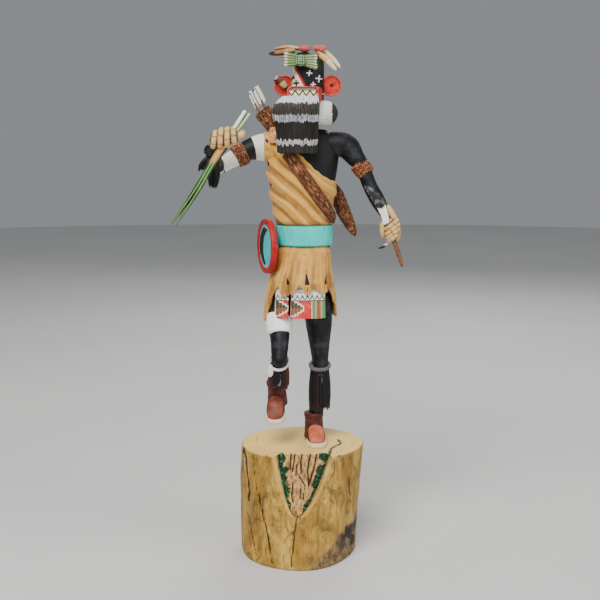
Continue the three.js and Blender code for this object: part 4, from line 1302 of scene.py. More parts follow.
class DOLL_OT_moccasins(bpy.types.Operator):
    """Carve both moccasins: pale sole, rose vamp with its seam, red brown sides and folded cuff"""
    bl_idname = "doll.moccasins"
    bl_label = "Moccasins"

    def execute(self, context):
        paints = context.scene.doll_paints
        f = Finish("Moccasin leather", roughness=0.5)
        n = f.n
        wash = n.step(n.mark(), 0.45, 0.55)
        drift = n.noise(n.place(), 200, 4)
        side = n.mix(n.step(drift, 0.35, 0.7), paints.moccasin, tone(100, 44, 30))
        rose = n.mix(n.step(drift, 0.35, 0.65), paints.vamp, tone(196, 104, 74))
        rust = n.mix(n.step(drift, 0.35, 0.65), tone(106, 50, 36), tone(134, 72, 52))
        vamp = n.mix(n.step(n.parts(n.doll())[0], -2, 2), rust, rose)
        # The form darkens the vamp's seam line, and paints shade into the cuff's slit and fold crease.
        colour = n.mix(n.both(n.wash(), 0.8), n.mix(wash, side, vamp), tone(46, 20, 14))
        leather = f.brushed(colour, 0.35, 0.08)
        sole = paint("Sole rawhide", tone(222, 204, 176), 0.25, 0.1)
        for side_name, turn, to in MOCCASINS:
            form = new_form()
            lay_turned(form, sole_outline, SOLE_RIM, 90, 56, slot=1)
            upper = Sweep(UPPER, power=2.2, ends=(0.16, 0.14))

            def vamp_place(u, v, upper=upper):
                point = upper.at(u, v)
                edge = (abs(point.x / 6.5) ** 2.8 + abs((point.y + 9.4) / 10.2) ** 2.8) ** (1 / 2.8)
                on_top = ease(3.0, 3.8, point.z)
                seam = bell(edge, 0.93, 0.045) * on_top
                pucker = 0.12 * cos(atan2(point.x, point.y + 6) * 26) * bell(edge, 0.95, 0.12) * on_top
                is_vamp = (1 - ease(0.88, 0.98, edge)) * on_top
                return upper.at(u, v, 0.25 * is_vamp - 0.5 * seam + pucker), 0.7 * seam, is_vamp

            lay_grid(form, 110, 120, vamp_place)
            cuff = Sweep(CUFF, ends=(0, 0.06))

            def cuff_place(u, v, cuff=cuff):
                facing = TURN * (u - 0.5)
                fold = 0.35 * bell(v, 0.62, 0.03) + 0.22 * fine(sin(facing) * 2, v * 12, cos(facing) * 2, 1, 61)
                slit = bell(facing, 1.5, 0.05) * ease(0.35, 0.5, v)
                crease = bell(v, 0.6, 0.02)
                return cuff.at(u, v, fold - 0.6 * slit - 0.4 * crease), max(slit, 0.8 * crease), 0.0

            lay_grid(form, 90, 100, cuff_place)

            move(form, form.verts[:], turn, to)
            finish_piece(form, f"Moccasin_{side_name}", (leather, sole))
        return {"FINISHED"}


# ---- arms and hands ----
RIGHT_UPPER = (
    [-16, 2, 217, 9.6, 9.6], [-27, 2, 217, 9.7, 9.4], [-36, 0.5, 215.3, 7.9, 7.9], [-43, -1, 211.5, 7, 7.2],
    [-51, -2.5, 207, 5.7, 6], [-57, -3, 203, 4.7, 5.0], [-59.5, -3.6, 200.9, 3, 3],
)
RIGHT_FORE = (
    [-56.6, 0.6, 201.6, 3.2, 3.2], [-57, -3, 203, 4.4, 4.6], [-59, -11, 206, 4.8, 4.8],
    [-58.5, -22, 212, 4.2, 4.2],
    [-51.5, -31, 222.5, 5, 5],
)
LEFT_ARM = (
    [20, 2, 219, 9, 9.6], [32, 1.6, 218.4, 9.3, 9.4], [39.5, 0.6, 210, 7.2, 7.4], [45, -1, 202.4, 5.7, 5.9],
    [50, -3, 190, 5.4, 5.6], [55.5, -7, 179.5, 5.4, 5.2], [61, -11, 169, 3.7, 3.7], [64, -13, 162, 4, 4],
)
RIGHT_BAND = ([-38.4, 0, 213.6, 7.8, 7.8], [-42.6, -0.8, 211.6, 8, 8.1], [-47, -1.8, 209, 7.3, 7.5])
LEFT_BAND = ([41.2, 0.2, 206, 6.6, 6.7], [45, -1, 201.6, 6.5, 6.7], [48.2, -2, 197.4, 6.3, 6.4])


class DOLL_OT_arms(bpy.types.Operator):
    """Carve both arms with their painted bands and carved armbands"""
    bl_idname = "doll.arms"
    bl_label = "Arms"

    def execute(self, context):
        paints = context.scene.doll_paints

        def muscle(u, v, point):
            return 0.3 * sin(TURN * u * 2 + 4 * v) * sin(pi * v)

        upper = leg_material(paints, "Right arm paint", [(0.05, 0.285), (0.56, 0.8)])
        lay = Sweep(RIGHT_UPPER, across=(0, 0, 1), ends=(0, 0.12))
        swept_piece("Right_upper_arm", lay, 64, 120, upper, muscle)
        fore = leg_material(paints, "Right forearm paint", [(-0.1, 0.1), (0.24, 0.34)])
        lay = Sweep(RIGHT_FORE, across=(1, 0, 0), ends=(0.12, 0))
        swept_piece("Right_forearm", lay, 48, 80, fore, muscle)
        left = leg_material(paints, "Left arm paint", [(0.965, 1.1)])
        swept_piece("Left_arm", Sweep(LEFT_ARM, across=(0.7, 0, 0.7)), 64, 140, left, muscle)

        f = Finish("Carved armband", roughness=0.65)
        f.colour(f.hatched(tone(158, 94, 54), tone(64, 32, 18), 26, 9, 0.5, 0.8))
        for side, stations, across in (("Right", RIGHT_BAND, (0, 0, 1)), ("Left", LEFT_BAND, (0.7, 0, 0.7))):
            band = Sweep(stations, across=across, ends=(0.08, 0.08))
            swept_piece(f"{side}_armband", band, 110, 44, f.material,
                        lambda u, v, p: 0.4 * sin(pi * v) + 0.3 * fine(u * 26, v * 5, 0, 1, 71))
        return {"FINISHED"}


def egg_form(form, centre, radii, turn=(0, 0, 0), columns=28, rows=18, power=2.3, wash=0.0):
    """A rounded body, a little boxier than an ellipsoid, turned about its own middle."""

    def place(u, v):
        facing, rise = TURN * u, pi * (v - 0.5)
        across = bent(cos(rise), power) if abs(rise) < pi / 2 - 1e-6 else 0.0
        lift = 0.3 * sin(2.3 * centre[0] + centre[2])
        lines = bell(rise, 0.42 + lift, 0.07) + bell(rise, -0.3 + lift, 0.07) + 0.6 * bell(rise, -0.85, 0.06)
        crease = wash * lines * ease(-0.2, 0.5, cos(facing))
        x = sin(facing) * across
        y = -cos(facing) * across * (1 - 0.1 * crease)
        point = Vector((x * radii[0], y * radii[1], bent(sin(rise), power) * radii[2]))
        # Painted shade: darker at the sides, where fingers press together, and in the knuckle creases.
        return point, wash * max(ease(0.42, 0.8, abs(x)), 0.7 * crease)

    made = lay_grid(form, columns, rows, place)
    move(form, made, turn, centre)
    return made


# Each fist as its middle, then (shift from it, radii, turn) of its palm, thumb and other rounded parts.
RIGHT_FIST = (-51.5, -31, 222.5)
RIGHT_FIST_PARTS = (((-1, 1.5, 1), (9.6, 5.6, 6.6), -8), ((10.2, -1, 3.4), (4.4, 3, 2.8), -38))
LEFT_FIST = (64.2, -14, 160.5)
LEFT_FIST_PARTS = (
    ((2.0, 1, -1.2), (5.4, 4.4, 9.0), -14), ((1.2, -0.6, 9.6), (2.3, 2.8, 7.4), -28),
    ((-5.7, -2, -1.2), (1.9, 2.5, 5.8), -4),
)
WRIST = (-58.5, -22, 212)
# Tassels of yarn as (top and foot from the wrist, spread, strands).
TASSELS = (((-4, -0.5, 0), (-10.8, -1, -11.5), 2.0, 26), ((-1.2, 0.6, -2), (-2.2, -0.4, -23.8), 2.7, 40))


class DOLL_OT_hands(bpy.types.Operator):
    """Carve both closed hands and the wound yarn with its tassels on the right wrist"""
    bl_idname = "doll.hands"
    bl_label = "Hands"

    def execute(self, context):
        paints = context.scene.doll_paints
        f = Finish("Hand paint", roughness=0.5)
        n = f.n
        cream = n.mix(n.patches(300, 4, 0.4, 0.75, 0.6), paints.skin, tone(196, 150, 84))
        # Painted shade between the fingers and in their creases, broken by noise.
        crevice_shade = n.both(n.wash(), n.patches(900, 3, 0.2, 0.5))
        skin = f.brushed(n.mix(crevice_shade, cream, tone(62, 32, 14)), 0.35, 0.0)
        x, y, z = RIGHT_FIST
        form = new_form()
        for i, (lift, length) in enumerate(((0.2, 6.6), (1.4, 7.4), (1.9, 7.4), (2.8, 6.4))):
            centre = (x - 7.4 + 4.5 * i, y - 2.6 - 0.5 * sin(pi * i / 3), z + lift)
            egg_form(form, centre, (2.9, 4.8, length), (0, 10 - 5 * i, 0), 48, 48, 2.4, 1.0)
        self.fist("Right_hand", form, RIGHT_FIST, RIGHT_FIST_PARTS, skin)
        x, y, z = LEFT_FIST
        form = new_form()
        for i, (shift, length) in enumerate(((0.6, 6.2), (1.4, 6.8), (1.9, 6.2), (1.8, 4.8))):
            centre = (x + shift, y - 3.2, z + 2.4 - 3.1 * i)
            egg_form(form, centre, (2.35, 3.6, length), (0, 52, 0), 48, 48, 2.4, 1.0)
        self.fist("Left_hand", form, LEFT_FIST, LEFT_FIST_PARTS, skin)
        self.yarn(paints)
        return {"FINISHED"}

    def fist(self, name, form, middle, parts, skin):
        """Adds the other parts of a fist to its fingers."""
        for shift, radii, lean in parts:
            egg_form(form, Vector(middle) + Vector(shift), radii, (0, lean, 0))
        finish_piece(form, name, skin)

    def yarn(self, paints):
        material = paint("Yarn black", paints.black, 1.0, 0.0, 0.8)
        rng = random.Random(11)
        form = new_form()
        wrist = Vector(WRIST)
        middle = wrist + Vector((-2.4, 0, 2))
        for vert in egg_form(form, middle, (6.4, 5.2, 4.6), (0, 30, 0), 90, 50):
            local = vert.co - middle
            vert.co += local.normalized() * 0.35 * sin(local.z * 4.2 + local.x * 1.5 + 0.6 * sin(local.y))
        for top, foot, spread, count in TASSELS:
            for _ in range(count):
                off = Vector((rng.uniform(-1, 1), rng.uniform(-0.7, 0.7), 0))
                start = wrist + Vector(top) + off * spread * 0.45
                end = wrist + Vector(foot) + off * spread + Vector((0, 0, rng.uniform(0, 3)))
                middle = start.lerp(end, 0.5) + off * spread * 0.6
                strand(form, [[*start, 0.72, 0.72], [*middle, 0.72, 0.72], [*end, 0.6, 0.6]], (1, 0, 0), 7, 9)
        finish_piece(form, "Wrist_yarn", material)


# ---- ruff, mask, muzzle and beard ----
HEAD_MIDDLE = Vector((5.3, 0, 0))
HEAD_TURN = radians(-8)
MUZZLE_HEIGHT, MUZZLE_HALF_WIDE, MUZZLE_HALF_TALL = 253.6, 11.2, 5.6
MASK = ([5.3, 0, 246, 10.6, 11], [5.3, 0, 251, 11.7, 12], [5.6, 0, 264, 11.4, 12], [6.1, 0, 275, 10.9, 11.9],
        [5.3, 0, 281, 9.8, 10.2], [5.3, 0, 284, 4, 4])
NECK = ([3.4, 1.5, 222, 10, 9], [4, 1.2, 236, 9.5, 9], [4.6, 1, 250, 9, 9])
RUFF_MIDDLE, RUFF_RADIUS, RUFF_TUBE = (3.5, 0.6, 241), 14.7, 8.6
BEARD = (
    [-2, -20.4, 212.6, 13.8, 1.9], [-2, -20.8, 222, 14.6, 2.2], [-2.2, -22.6, 231, 15, 2.8],
    [-2.9, -25, 238.5, 16, 3.6], [-2.7, -26.2, 244.5, 16, 4], [-1.2, -25.8, 249.4, 14.2, 3.6],
    [0.6, -24.8, 252.8, 12, 2.2],
)
# Small crosses on the mask as [x, height, size, lean].
WHITE_CROSSES = ([6.6, 268.6, 2.2, 0.15], [13.3, 265.0, 2.7, 0.1], [9.2, 260.8, 2.1, 0.0],
                 [15.0, 254.6, 2.4, 0.1])
BLACK_CROSSES = ([-2.7, 261.8, 2.4, 0.0], [-5.0, 265.6, 1.8, 0.5])


def turned_head(point):
    """A point of the head, whose face looks a little to its right."""
    return HEAD_MIDDLE + Euler((0, 0, HEAD_TURN)).to_matrix() @ point


@node_group(
    "Painted cross",
    [("X", "Float", 0.0), ("Z", "Float", 0.0), ("Middle X", "Float", 0.0), ("Middle Z", "Float", 0.0),
     ("Size", "Float", 2.0), ("Lean", "Float", 0.0), ("Weight", "Float", 0.0)],
    [("Mask", "Float")],
)
def plus_group(n, given, out):
    """A hand-painted cross: two strokes round a middle point, with a size, a lean and an added weight."""
    x = n.minus(given["X"], given["Middle X"])
    z = n.minus(given["Z"], given["Middle Z"])
    x, z = (n.scaled(z, n.both(given["Lean"], -1.2), x),
            n.scaled(x, n.both(given["Lean"], 0.6), z))
    x, z = n.sum("ABSOLUTE", x), n.sum("ABSOLUTE", z)

    def bar(run, side):
        side = n.minus(side, given["Weight"])
        outer, inner = n.scaled(given["Size"], 0.1, 0.3), n.scaled(given["Size"], 0.05, 0.16)
        thin = n.step(side, outer, inner)
        short = n.step(run, given["Size"], n.both(given["Size"], 0.85))
        return n.both(thin, short)

    n.feed(out["Mask"], n.sum("MAXIMUM", bar(x, z), bar(z, x)))


def mask_material(paints):
    """Black mask with a cream cheek, a red line between them and small crosses."""
    f = Finish("Mask paint", roughness=0.5)
    n = f.n
    x, y, z = n.parts(n.doll())
    wobble = n.minus(n.noise(n.place(), 300, 2), 0.5)
    x, z = n.plus(x, wobble), n.minus(z, wobble)
    front = n.step(y, 3.0, 2.0)
    # The line runs down from the brow to the corner of the muzzle.
    slant = n.scaled(n.minus(z, 259.5), 0.53, n.minus(x, 3.7))
    cheek = n.both(n.step(slant, 0.2, -0.2), front)
    red = n.both(n.inside(slant, -1.0, 0.7, 0.2), front)
    black = n.mix(n.patches(180, 3, 0.5, 0.7), paints.black, tone(24, 32, 30))
    top_green = n.both(n.step(z, 268, 274), n.step(x, 8, 12))
    colour = n.mix(n.both(top_green, 0.7), black, tone(38, 52, 30))

    def cross(at_x, at_z, size, lean, weight=0.0):
        return n.group(plus_group(), X=x, Z=z, Middle_X=at_x, Middle_Z=at_z, Size=size, Lean=lean,
                       Weight=weight)["Mask"]

    for row in WHITE_CROSSES:
        colour = n.mix(n.both(cross(*row), front), colour, tone(222, 218, 222))
    cheek_colour = n.mix(n.patches(240, 3, 0.45, 0.7), tone(230, 222, 200), tone(206, 190, 160))
    for row in BLACK_CROSSES:
        cheek_colour = n.mix(cross(*row, 0.2), cheek_colour, paints.black)
    return f.brushed(n.mix(red, n.mix(cheek, colour, cheek_colour), paints.red), 0.3, 0.05)


def muzzle_material(paints):
    """Red lips, with a cream field of drawn teeth between them, and a painted shadow along the top of the teeth
    under the upper lip.
    """
    f = Finish("Muzzle paint", roughness=0.45)
    n = f.n
    x, _, z = n.parts(n.doll())
    row = n.repeated(n.sum("DIVIDE", n.plus(x, 8.4), 5.1), 1.0)
    zigzag = n.scaled(n.away(row, 0.5), 7.6, 252.6)
    line = n.step(n.away(z, zigzag), 1.05, 0.7)
    teeth = n.mix(n.both(line, n.step(z, 257.0, 256.4)), tone(238, 226, 182), tone(18, 18, 12))
    # Painted shadow: the top of the teeth, under the upper lip, goes dark.
    teeth = n.mix(n.both(n.step(z, 255.8, 256.3), 0.8), teeth, tone(44, 36, 30))
    lip = n.mix(n.patches(260, 3, 0.4, 0.7), paints.red, tone(222, 92, 80))
    return f.brushed(n.mix(n.step(n.wash(), 0.4, 0.6), teeth, lip), 0.3, 0.06)


class DOLL_OT_head(bpy.types.Operator):
    """Carve the ruff, the neck, the black mask and the square muzzle with its teeth"""
    bl_idname = "doll.head"
    bl_label = "Head"

    def execute(self, context):
        paints = context.scene.doll_paints
        self.ruff(paints)
        swept_piece("Mask", Sweep(MASK, ends=(0, 0.1)), 90, 80, mask_material(paints),
                    lambda u, v, p: 0.1 * fine(u * 9, v * 9, 0, 1, 81))

        def muzzle(u, v):
            turn = TURN * u
            x, z = bent(sin(turn), 7) * MUZZLE_HALF_WIDE, bent(-cos(turn), 7) * MUZZLE_HALF_TALL
            # Back to front: its sides, the rounded lip, the step down inside it, and the field of teeth.
            if v < 0.45:
                y, scale = lerp(-4, -23.6, v / 0.45), 1.0
            elif v < 0.6:
                t = (v - 0.45) / 0.15
                y, scale = -23.6 - 0.6 * sin(pi / 2 * t), lerp(1.0, 0.9, t)
            elif v < 0.7:
                t = (v - 0.6) / 0.1
                y, scale = lerp(-24.2, -23.1, ease(0, 1, t)), lerp(0.9, 0.83, t)
            else:
                t = (v - 0.7) / 0.3
                y, scale = -23.1 - 0.5 * sin(pi / 2 * t), lerp(0.83, 0.0, t)
            lip = 1 - ease(0.655, 0.69, v)
            return turned_head(Vector((x * scale, y, MUZZLE_HEIGHT + z * scale))), lip

        grid_piece("Muzzle", 120, 70, muzzle, muzzle_material(paints))
        swept_piece("Neck", Sweep(NECK), 48, 16, paint("Neck black", paints.black, 0.6, 0.0))
        return {"FINISHED"}

    def ruff(self, paints):
        f = Finish("Fur ruff", roughness=0.75)
        n = f.n
        x, y, _ = n.parts(n.doll())
        edge = n.jittered(x, 500, 3, 1.6)
        white = n.both(n.inside(edge, 11, 22.6, 0.3), n.step(y, 2.0, 1.0))
        hair = n.noise(n.stretched(n.surface(), 60, 3, 1), 6, 3, 0.6)
        black = n.mix(n.step(hair, 0.35, 0.7), paints.black, tone(66, 62, 62))
        pale = n.mix(n.step(hair, 0.3, 0.6), tone(198, 192, 176), tone(236, 234, 222))
        f.brushed(n.mix(white, black, pale), 0.3, 0.04, depth=0.3, relief=hair)

        def place(u, v):
            facing, turn = TURN * v, TURN * u
            across, ahead = sin(facing), cos(facing)
            groove = 0.22 * sin(facing * 84 + 2.2 * fine(across * 5, ahead * 5, cos(turn), 1, 83))
            tube = RUFF_TUBE + groove + 0.25 * fine(across * 6, ahead * 6, sin(turn) * 2, 1, 84)
            out = RUFF_RADIUS + cos(turn) * tube
            return Vector(RUFF_MIDDLE) + Vector((across * out, -ahead * out * 0.93, sin(turn) * tube))

        grid_piece("Ruff", 60, 420, place, f.material)


# Bands painted on the beard as (from, to, pale hairs, dark hairs).
BEARD_BANDS = (
    (239.2, 248.0, (84, 78, 66), (10, 9, 9)), (235.4, 239.2, (226, 230, 236), (90, 94, 102)),
    (222.0, 235.4, (40, 34, 30), (4, 4, 4)), (219.4, 222.0, (232, 232, 232), (100, 100, 104)),
    (205.0, 219.4, (52, 48, 44), (8, 8, 8)),
)


class DOLL_OT_beard(bpy.types.Operator):
    """Carve the long beard with its hair strokes, ragged edge and painted bands"""
    bl_idname = "doll.beard"
    bl_label = "Beard"

    def execute(self, context):
        f = Finish("Beard paint", roughness=0.7)
        n = f.n
        where = n.doll()
        height = n.parts(where)[2]
        hairs = n.noise(n.stretched(where, 1.5, 0.2, 0.07), 1.0, 4, 0.7)
        jag = n.noise(n.stretched(where, 1.0, 0.1, 0.03), 1.0, 2, 0.5)
        colour = n.mix(n.step(hairs, 0.4, 0.6), tone(206, 204, 204), tone(240, 240, 240))
        for low, high, pale, dark in BEARD_BANDS:
            band = n.group(ragged_band_group(), Across=height, From=low, To=high, Soft=0.5, Ragged=7.0,
                           Noise=jag)
            colour = n.mix(band["Mask"], colour, n.mix(n.step(hairs, 0.38, 0.62), tone(*dark), tone(*pale)))
        # Painted shade: darker in the carved grooves between the hair strokes.
        colour = n.mix(n.both(n.wash(), 0.5), colour, tone(46, 42, 40))
        made = n.group(brushwork_group(), Colour=colour, Drift=0.2, Rubbed=0.0)
        f.colour(made["Colour"])
        f.bump(hairs, 0.35)
        slab = Sweep(BEARD, power=4.5, ends=(0.015, 0.04), level=True)
        groove = context.scene.doll_sizes.hair_groove / MM

        def place(u, v):
            point = slab.at(u, v)
            run = point.x * 5.2 + 1.6 * fine(point.x * 0.3, 0, point.z * 0.05, 1, 91) * 3
            cut = cos(run) * groove + 0.35 * groove * cos(run * 2.7 + point.z * 0.03)
            ragged = 0.7 * abs(fine(point.x * 0.9, 0, 0, 1, 92)) + 0.35 * abs(sin(point.x * 2.1))
            made = slab.at(u, v, cut)
            made.z += (1 - ease(0.0, 0.2, v)) * (ragged - 0.3)
            return made, 0.5 - cut / groove * 0.5

        grid_piece("Beard", 420, 120, place, f.material)
        return {"FINISHED"}


# ---- ears, husk, feathers ----
EAR_RADIUS, EAR_HEIGHT = 7.6, 260.4
# The ear from the hole in its middle out to its rim and round to its back, as [share of its radius, height].
EAR_PROFILE = (
    (0.0, 0.1), (0.1, 0.1), (0.14, 1.0), (0.74, 1.05), (0.8, 1.1), (0.86, 1.5), (0.96, 1.45), (1.0, 0.9),
    (1.0, -0.9), (0.95, -1.45), (0.5, -1.5), (0.0, -1.5),
)
PENDANT = (
    [-9.2, -3.2, 258.2, 1.5, 1], [-12.2, -4.2, 261.7, 2.3, 1.5], [-15.6, -3.6, 265.4, 2.1, 1.4],
    [-18.4, -2.4, 263.4, 1.2, 1.0],
)
HUSK_KNOT = ([0.6, -16.2, 273.0, 2.4, 1.2], [0.6, -16.5, 277, 3.4, 1.6], [0.6, -16.2, 281, 2.4, 1.2])


class DOLL_OT_ears(bpy.types.Operator):
    """Carve the round red ears and the ornament that hangs over the right one"""
    bl_idname = "doll.ears"
    bl_label = "Ears"

    def execute(self, context):
        paints = context.scene.doll_paints
        f = Finish("Ear red", roughness=0.45)
        n = f.n
        mottled = n.mix(n.patches(210, 4, 0.35, 0.7, 0.6), paints.red, tone(206, 74, 50))
        # Painted highlight: the top of the rim is paler.
        rim = n.mix(n.both(n.mark(), 0.35), mottled, tone(208, 118, 104))
        # Painted shade: darker in the hole in the middle and in the corner at the foot of the rim.
        red = f.brushed(n.mix(n.both(n.wash(), 0.9), rim, tone(88, 20, 16)), 0.4, 0.1)
        for side, x in (("right", -11), ("left", 22.3)):

            def place(u, v, x=x):
                scale, height = curve_straight(EAR_PROFILE, v)
                turn = TURN * u
                grain = 0.06 * fine(cos(turn) * scale * 6, sin(turn) * scale * 1.5, 0, 1, 101)
                rim_highlight = bell(scale, 0.93, 0.07) if height > 0 else 0.0
                wash = max(bell(scale, 0.12, 0.05), 0.7 * bell(scale, 0.77, 0.035)) if height > 0 else 0.0
                wash = 1.0 if scale < 0.1 and height > 0 else wash
                across, up = cos(turn) * EAR_RADIUS * scale, sin(turn) * EAR_RADIUS * scale
                return Vector((x + across, 0.5 - height - grain, EAR_HEIGHT + up)), wash, rim_highlight

            grid_piece(f"Ear_{side}", 96, 90, place, red, f"{side}_ear", "ear_red")
        self.pendant()
        return {"FINISHED"}

    def pendant(self):
        f = Finish("Pendant paint", roughness=0.55)
        n = f.n
        share = n.parts(n.surface())[1]
        colour = n.mix(n.step(share, 0.08, 0.14), tone(60, 26, 14), tone(190, 172, 104))
        colour = n.mix(n.step(share, 0.36, 0.44), colour, tone(84, 42, 22))
        # Painted highlight: the upward faces of the curl's top are paler.
        colour = n.mix(n.both(n.step(share, 0.62, 0.74), n.step(n.up_facing(), 0.0, 0.5)), colour,
                       tone(206, 194, 170))
        hatch = n.step(n.noise(n.stretched(n.surface(), 26, 4, 1), 3, 3), 0.5, 0.6)
        pendant = f.brushed(n.mix(n.both(hatch, 0.45), colour, tone(64, 38, 26)), 0.3, 0.05)
        form = new_form()
        curl = Sweep(PENDANT, across=(0.7, 0, 0.7), power=2.4, ends=(0.12, 0.15))
        lay_sweep(form, curl, 40, 56, lambda u, v, p: 0.12 * sin(TURN * u * 5))
        finish_piece(form, "Ear_pendant", pendant, "ear_pendant", "pendant_paint")


class DOLL_OT_husk_bow(bpy.types.Operator):
    """Carve the pleated husk bow across the brow, with its diamond knot"""
    bl_idname = "doll.husk_bow"
    bl_label = "Husk Bow"

    def execute(self, context):
        f = Finish("Husk paint", roughness=0.55)
        n = f.n
        x, _, z = n.parts(n.doll())
        shift = n.jittered(n.away(x, 0.6), 380, 3, 3.0)
        husk = n.mix(n.step(shift, 8.4, 10.6), tone(120, 160, 92), tone(240, 228, 206))
        husk = n.mix(n.both(n.step(x, 2.5, 6.0), 0.4), husk, tone(190, 196, 156))
        middle = n.mix(n.step(shift, 2.0, 3.2), tone(112, 150, 72), husk)
        turned = n.add("Mapping", {"Vector": n.place(), "Rotation": (0, radians(45), 0)}).outputs[0]
        weave = n.add("TexChecker", {"Vector": turned, "Scale": 880.0}).outputs[1]
        knot_zone = n.both(n.inside(x, -2.8, 3.4, 0.4), n.step(n.away(z, 277), 4.2, 3.4))
        middle = n.mix(knot_zone, middle, n.mix(weave, tone(12, 34, 20), tone(150, 190, 130)))
        # Painted shade: darker in the hollows of the pleats. The knot is darkened a little all over.
        f.brushed(n.mix(n.both(n.wash(), 0.75), middle, tone(74, 66, 44)), 0.25, 0.05)
        form = new_form()

        def place(u, v):
            s = lerp(-1, 1, v)
            spread = lerp(3.1, 5.6, abs(s) ** 0.8)
            turn = TURN * u
            across, thick = bent(cos(turn), 3.0), bent(sin(turn), 3.0)
            pleat = cos(across * pi * 5.5)
            end_round = sqrt(max(1 - max((abs(s) - 0.97) / 0.03, 0) ** 2, 0))
            frill = 0.5 * ease(0.7, 1, abs(s)) * pleat
            half_thick = (0.95 - 0.25 * abs(s)) * end_round
            y = -14.4 + 1.4 * s * s - thick * half_thick - (0.32 * pleat if thick > 0 else 0)
            point = Vector((0.4 + s * (11.2 + frill), y, 277.2 + across * spread - 0.8 * s))
            # Painted shade in the pleats' hollows, fainter on the back.
            return point, (0.5 - 0.5 * pleat) * (1 if thick > 0 else 0.3)

        lay_grid(form, 150, 110, place)
        knot = Sweep(HUSK_KNOT, power=2.6, ends=(0.2, 0.2))

        def lattice(u, v):
            facing = TURN * (u - 0.5)
            weave = cos(facing * 8 + v * 22) * cos(facing * 8 - v * 22)
            return knot.at(u, v, 0.3 * weave), 0.15

        lay_grid(form, 80, 50, lattice)
        finish_piece(form, "Husk_bow", f.material, "husk_bow", "husk_green")
        return {"FINISHED"}


def feather_material(name, stops, barb, shaded_under=False):
    """A feather painted along its length in stops of (share, colour), with a pale rib and fine barbs, and, when
    asked, painted shade on its underside.
    """
    f = Finish(name, roughness=0.6)
    n = f.n
    across, share, _ = n.parts(n.surface())
    jag = n.jittered(share, 480, 3, 0.12)
    colour = tone(*stops[0][1])
    for low, paint_tone in stops[1:]:
        colour = n.mix(n.step(jag, low - 0.04, low + 0.04), colour, tone(*paint_tone))
    middle = n.away(across, 0.5)
    slanted = n.add("CombineXYZ", {0: n.scaled(middle, 0.8, share)}).outputs[0]
    barbs = n.add("TexWave", {"Vector": slanted, "Scale": 13, "Distortion": 2.5, "Detail": 2}).outputs[1]
    colour = n.mix(n.both(n.step(barbs, 0.45, 0.0), barb), colour, tone(70, 46, 28))
    colour = n.mix(n.step(middle, 0.035, 0.02), colour, tone(232, 214, 176))
    if shaded_under:
        # Painted shade on the faces that turn downwards.
        under = n.step(n.up_facing(), 0.35, -0.25)
        colour = n.mix(n.both(under, 0.85), colour, tone(66, 36, 16))
    return f.brushed(colour, 0.25, 0.05, depth=0.08, relief=barbs)


def feather_piece(name, slot, material, across, stations):
    """A carved feather of the crest: a raised rib down the middle and barbs cut in its edges."""
    vane = Sweep(stations, across=across, power=2.2, ends=(0.1, 0.06))

    def place(u, v):
        middle = abs(((u - 0.5) % 0.5))
        rib = 0.28 * (bell(u, 0.5, 0.03) + bell(u, 0, 0.03) + bell(u, 1, 0.03))
        barb = 0.05 * sin(v * 110 + 7 * abs(middle - 0.25)) * bell(middle, 0.25, 0.16)
        return vane.at(u, v, rib + barb)

    grid_piece(f"Crest_feather_{name}", 56, 110, place, material, f"crest_feather_{name}", slot)


# Each crest feather as its name, slot, paint, colours along it, depth of its barbs in colour, whether its
# underside takes painted shade, the way across it, and its stations.
CREST_FEATHERS = (
    ("right_upper", "feather_brown", "Brown feather",
     [(0, (190, 140, 84)), (0.3, (204, 156, 96)), (0.7, (222, 182, 124))],
     0.3, True, (0, 1, 0.2),
     [[-18.6, 2, 286, 0.7, 0.5], [-13, 2, 287, 2.4, 0.9], [-8, 2, 287.4, 2.8, 1.1], [1.5, 2, 286, 1.8, 1]]),
    ("right_lower", "feather_brown", "Dark feather",
     [(0, (44, 26, 14)), (0.25, (156, 104, 54)), (0.6, (190, 138, 80))],
     0.3, True, (0, 1, 0.3),
     [[-22, -6, 282.2, 0.8, 0.7], [-16, -6, 282.6, 2.6, 1.6], [-9, -5.6, 283.8, 3, 2],
      [-3.4, -5, 284.4, 1.8, 1.4]]),
    ("left_upper", "feather_cream", "Cream feather",
     [(0, (238, 222, 178)), (0.35, (228, 202, 146)), (0.75, (196, 150, 92))],
     0.15, False, (0.5, 1, 0.4),
     [[28.6, 1, 273, 1.2, 0.8], [24, 1.4, 278.4, 2.2, 1.4], [18.4, 1.8, 283, 2.6, 1.7],
      [11.5, 2, 286, 1.6, 1.2]]),
    ("left_lower", "feather_cream", "Pale feather",
     [(0, (234, 214, 168)), (0.5, (212, 166, 106)), (0.85, (150, 104, 60))],
     0.15, False, (0.5, 1, 0.4),
     [[25.6, -7, 270.6, 1.1, 0.9], [21.6, -7, 275, 2.1, 1.7], [16.8, -6.6, 279.4, 2.4, 2],
      [11.5, -6, 283, 1.6, 1.4]]),
)
# The tufts as (side, middle, radii).
TUFTS = (("right", (3.2, -3, 285.8), (5.2, 3.3, 3.0)), ("left", (13.8, -3, 285.8), (5.3, 3.3, 3.1)))
TUFT_HAIRS = 110


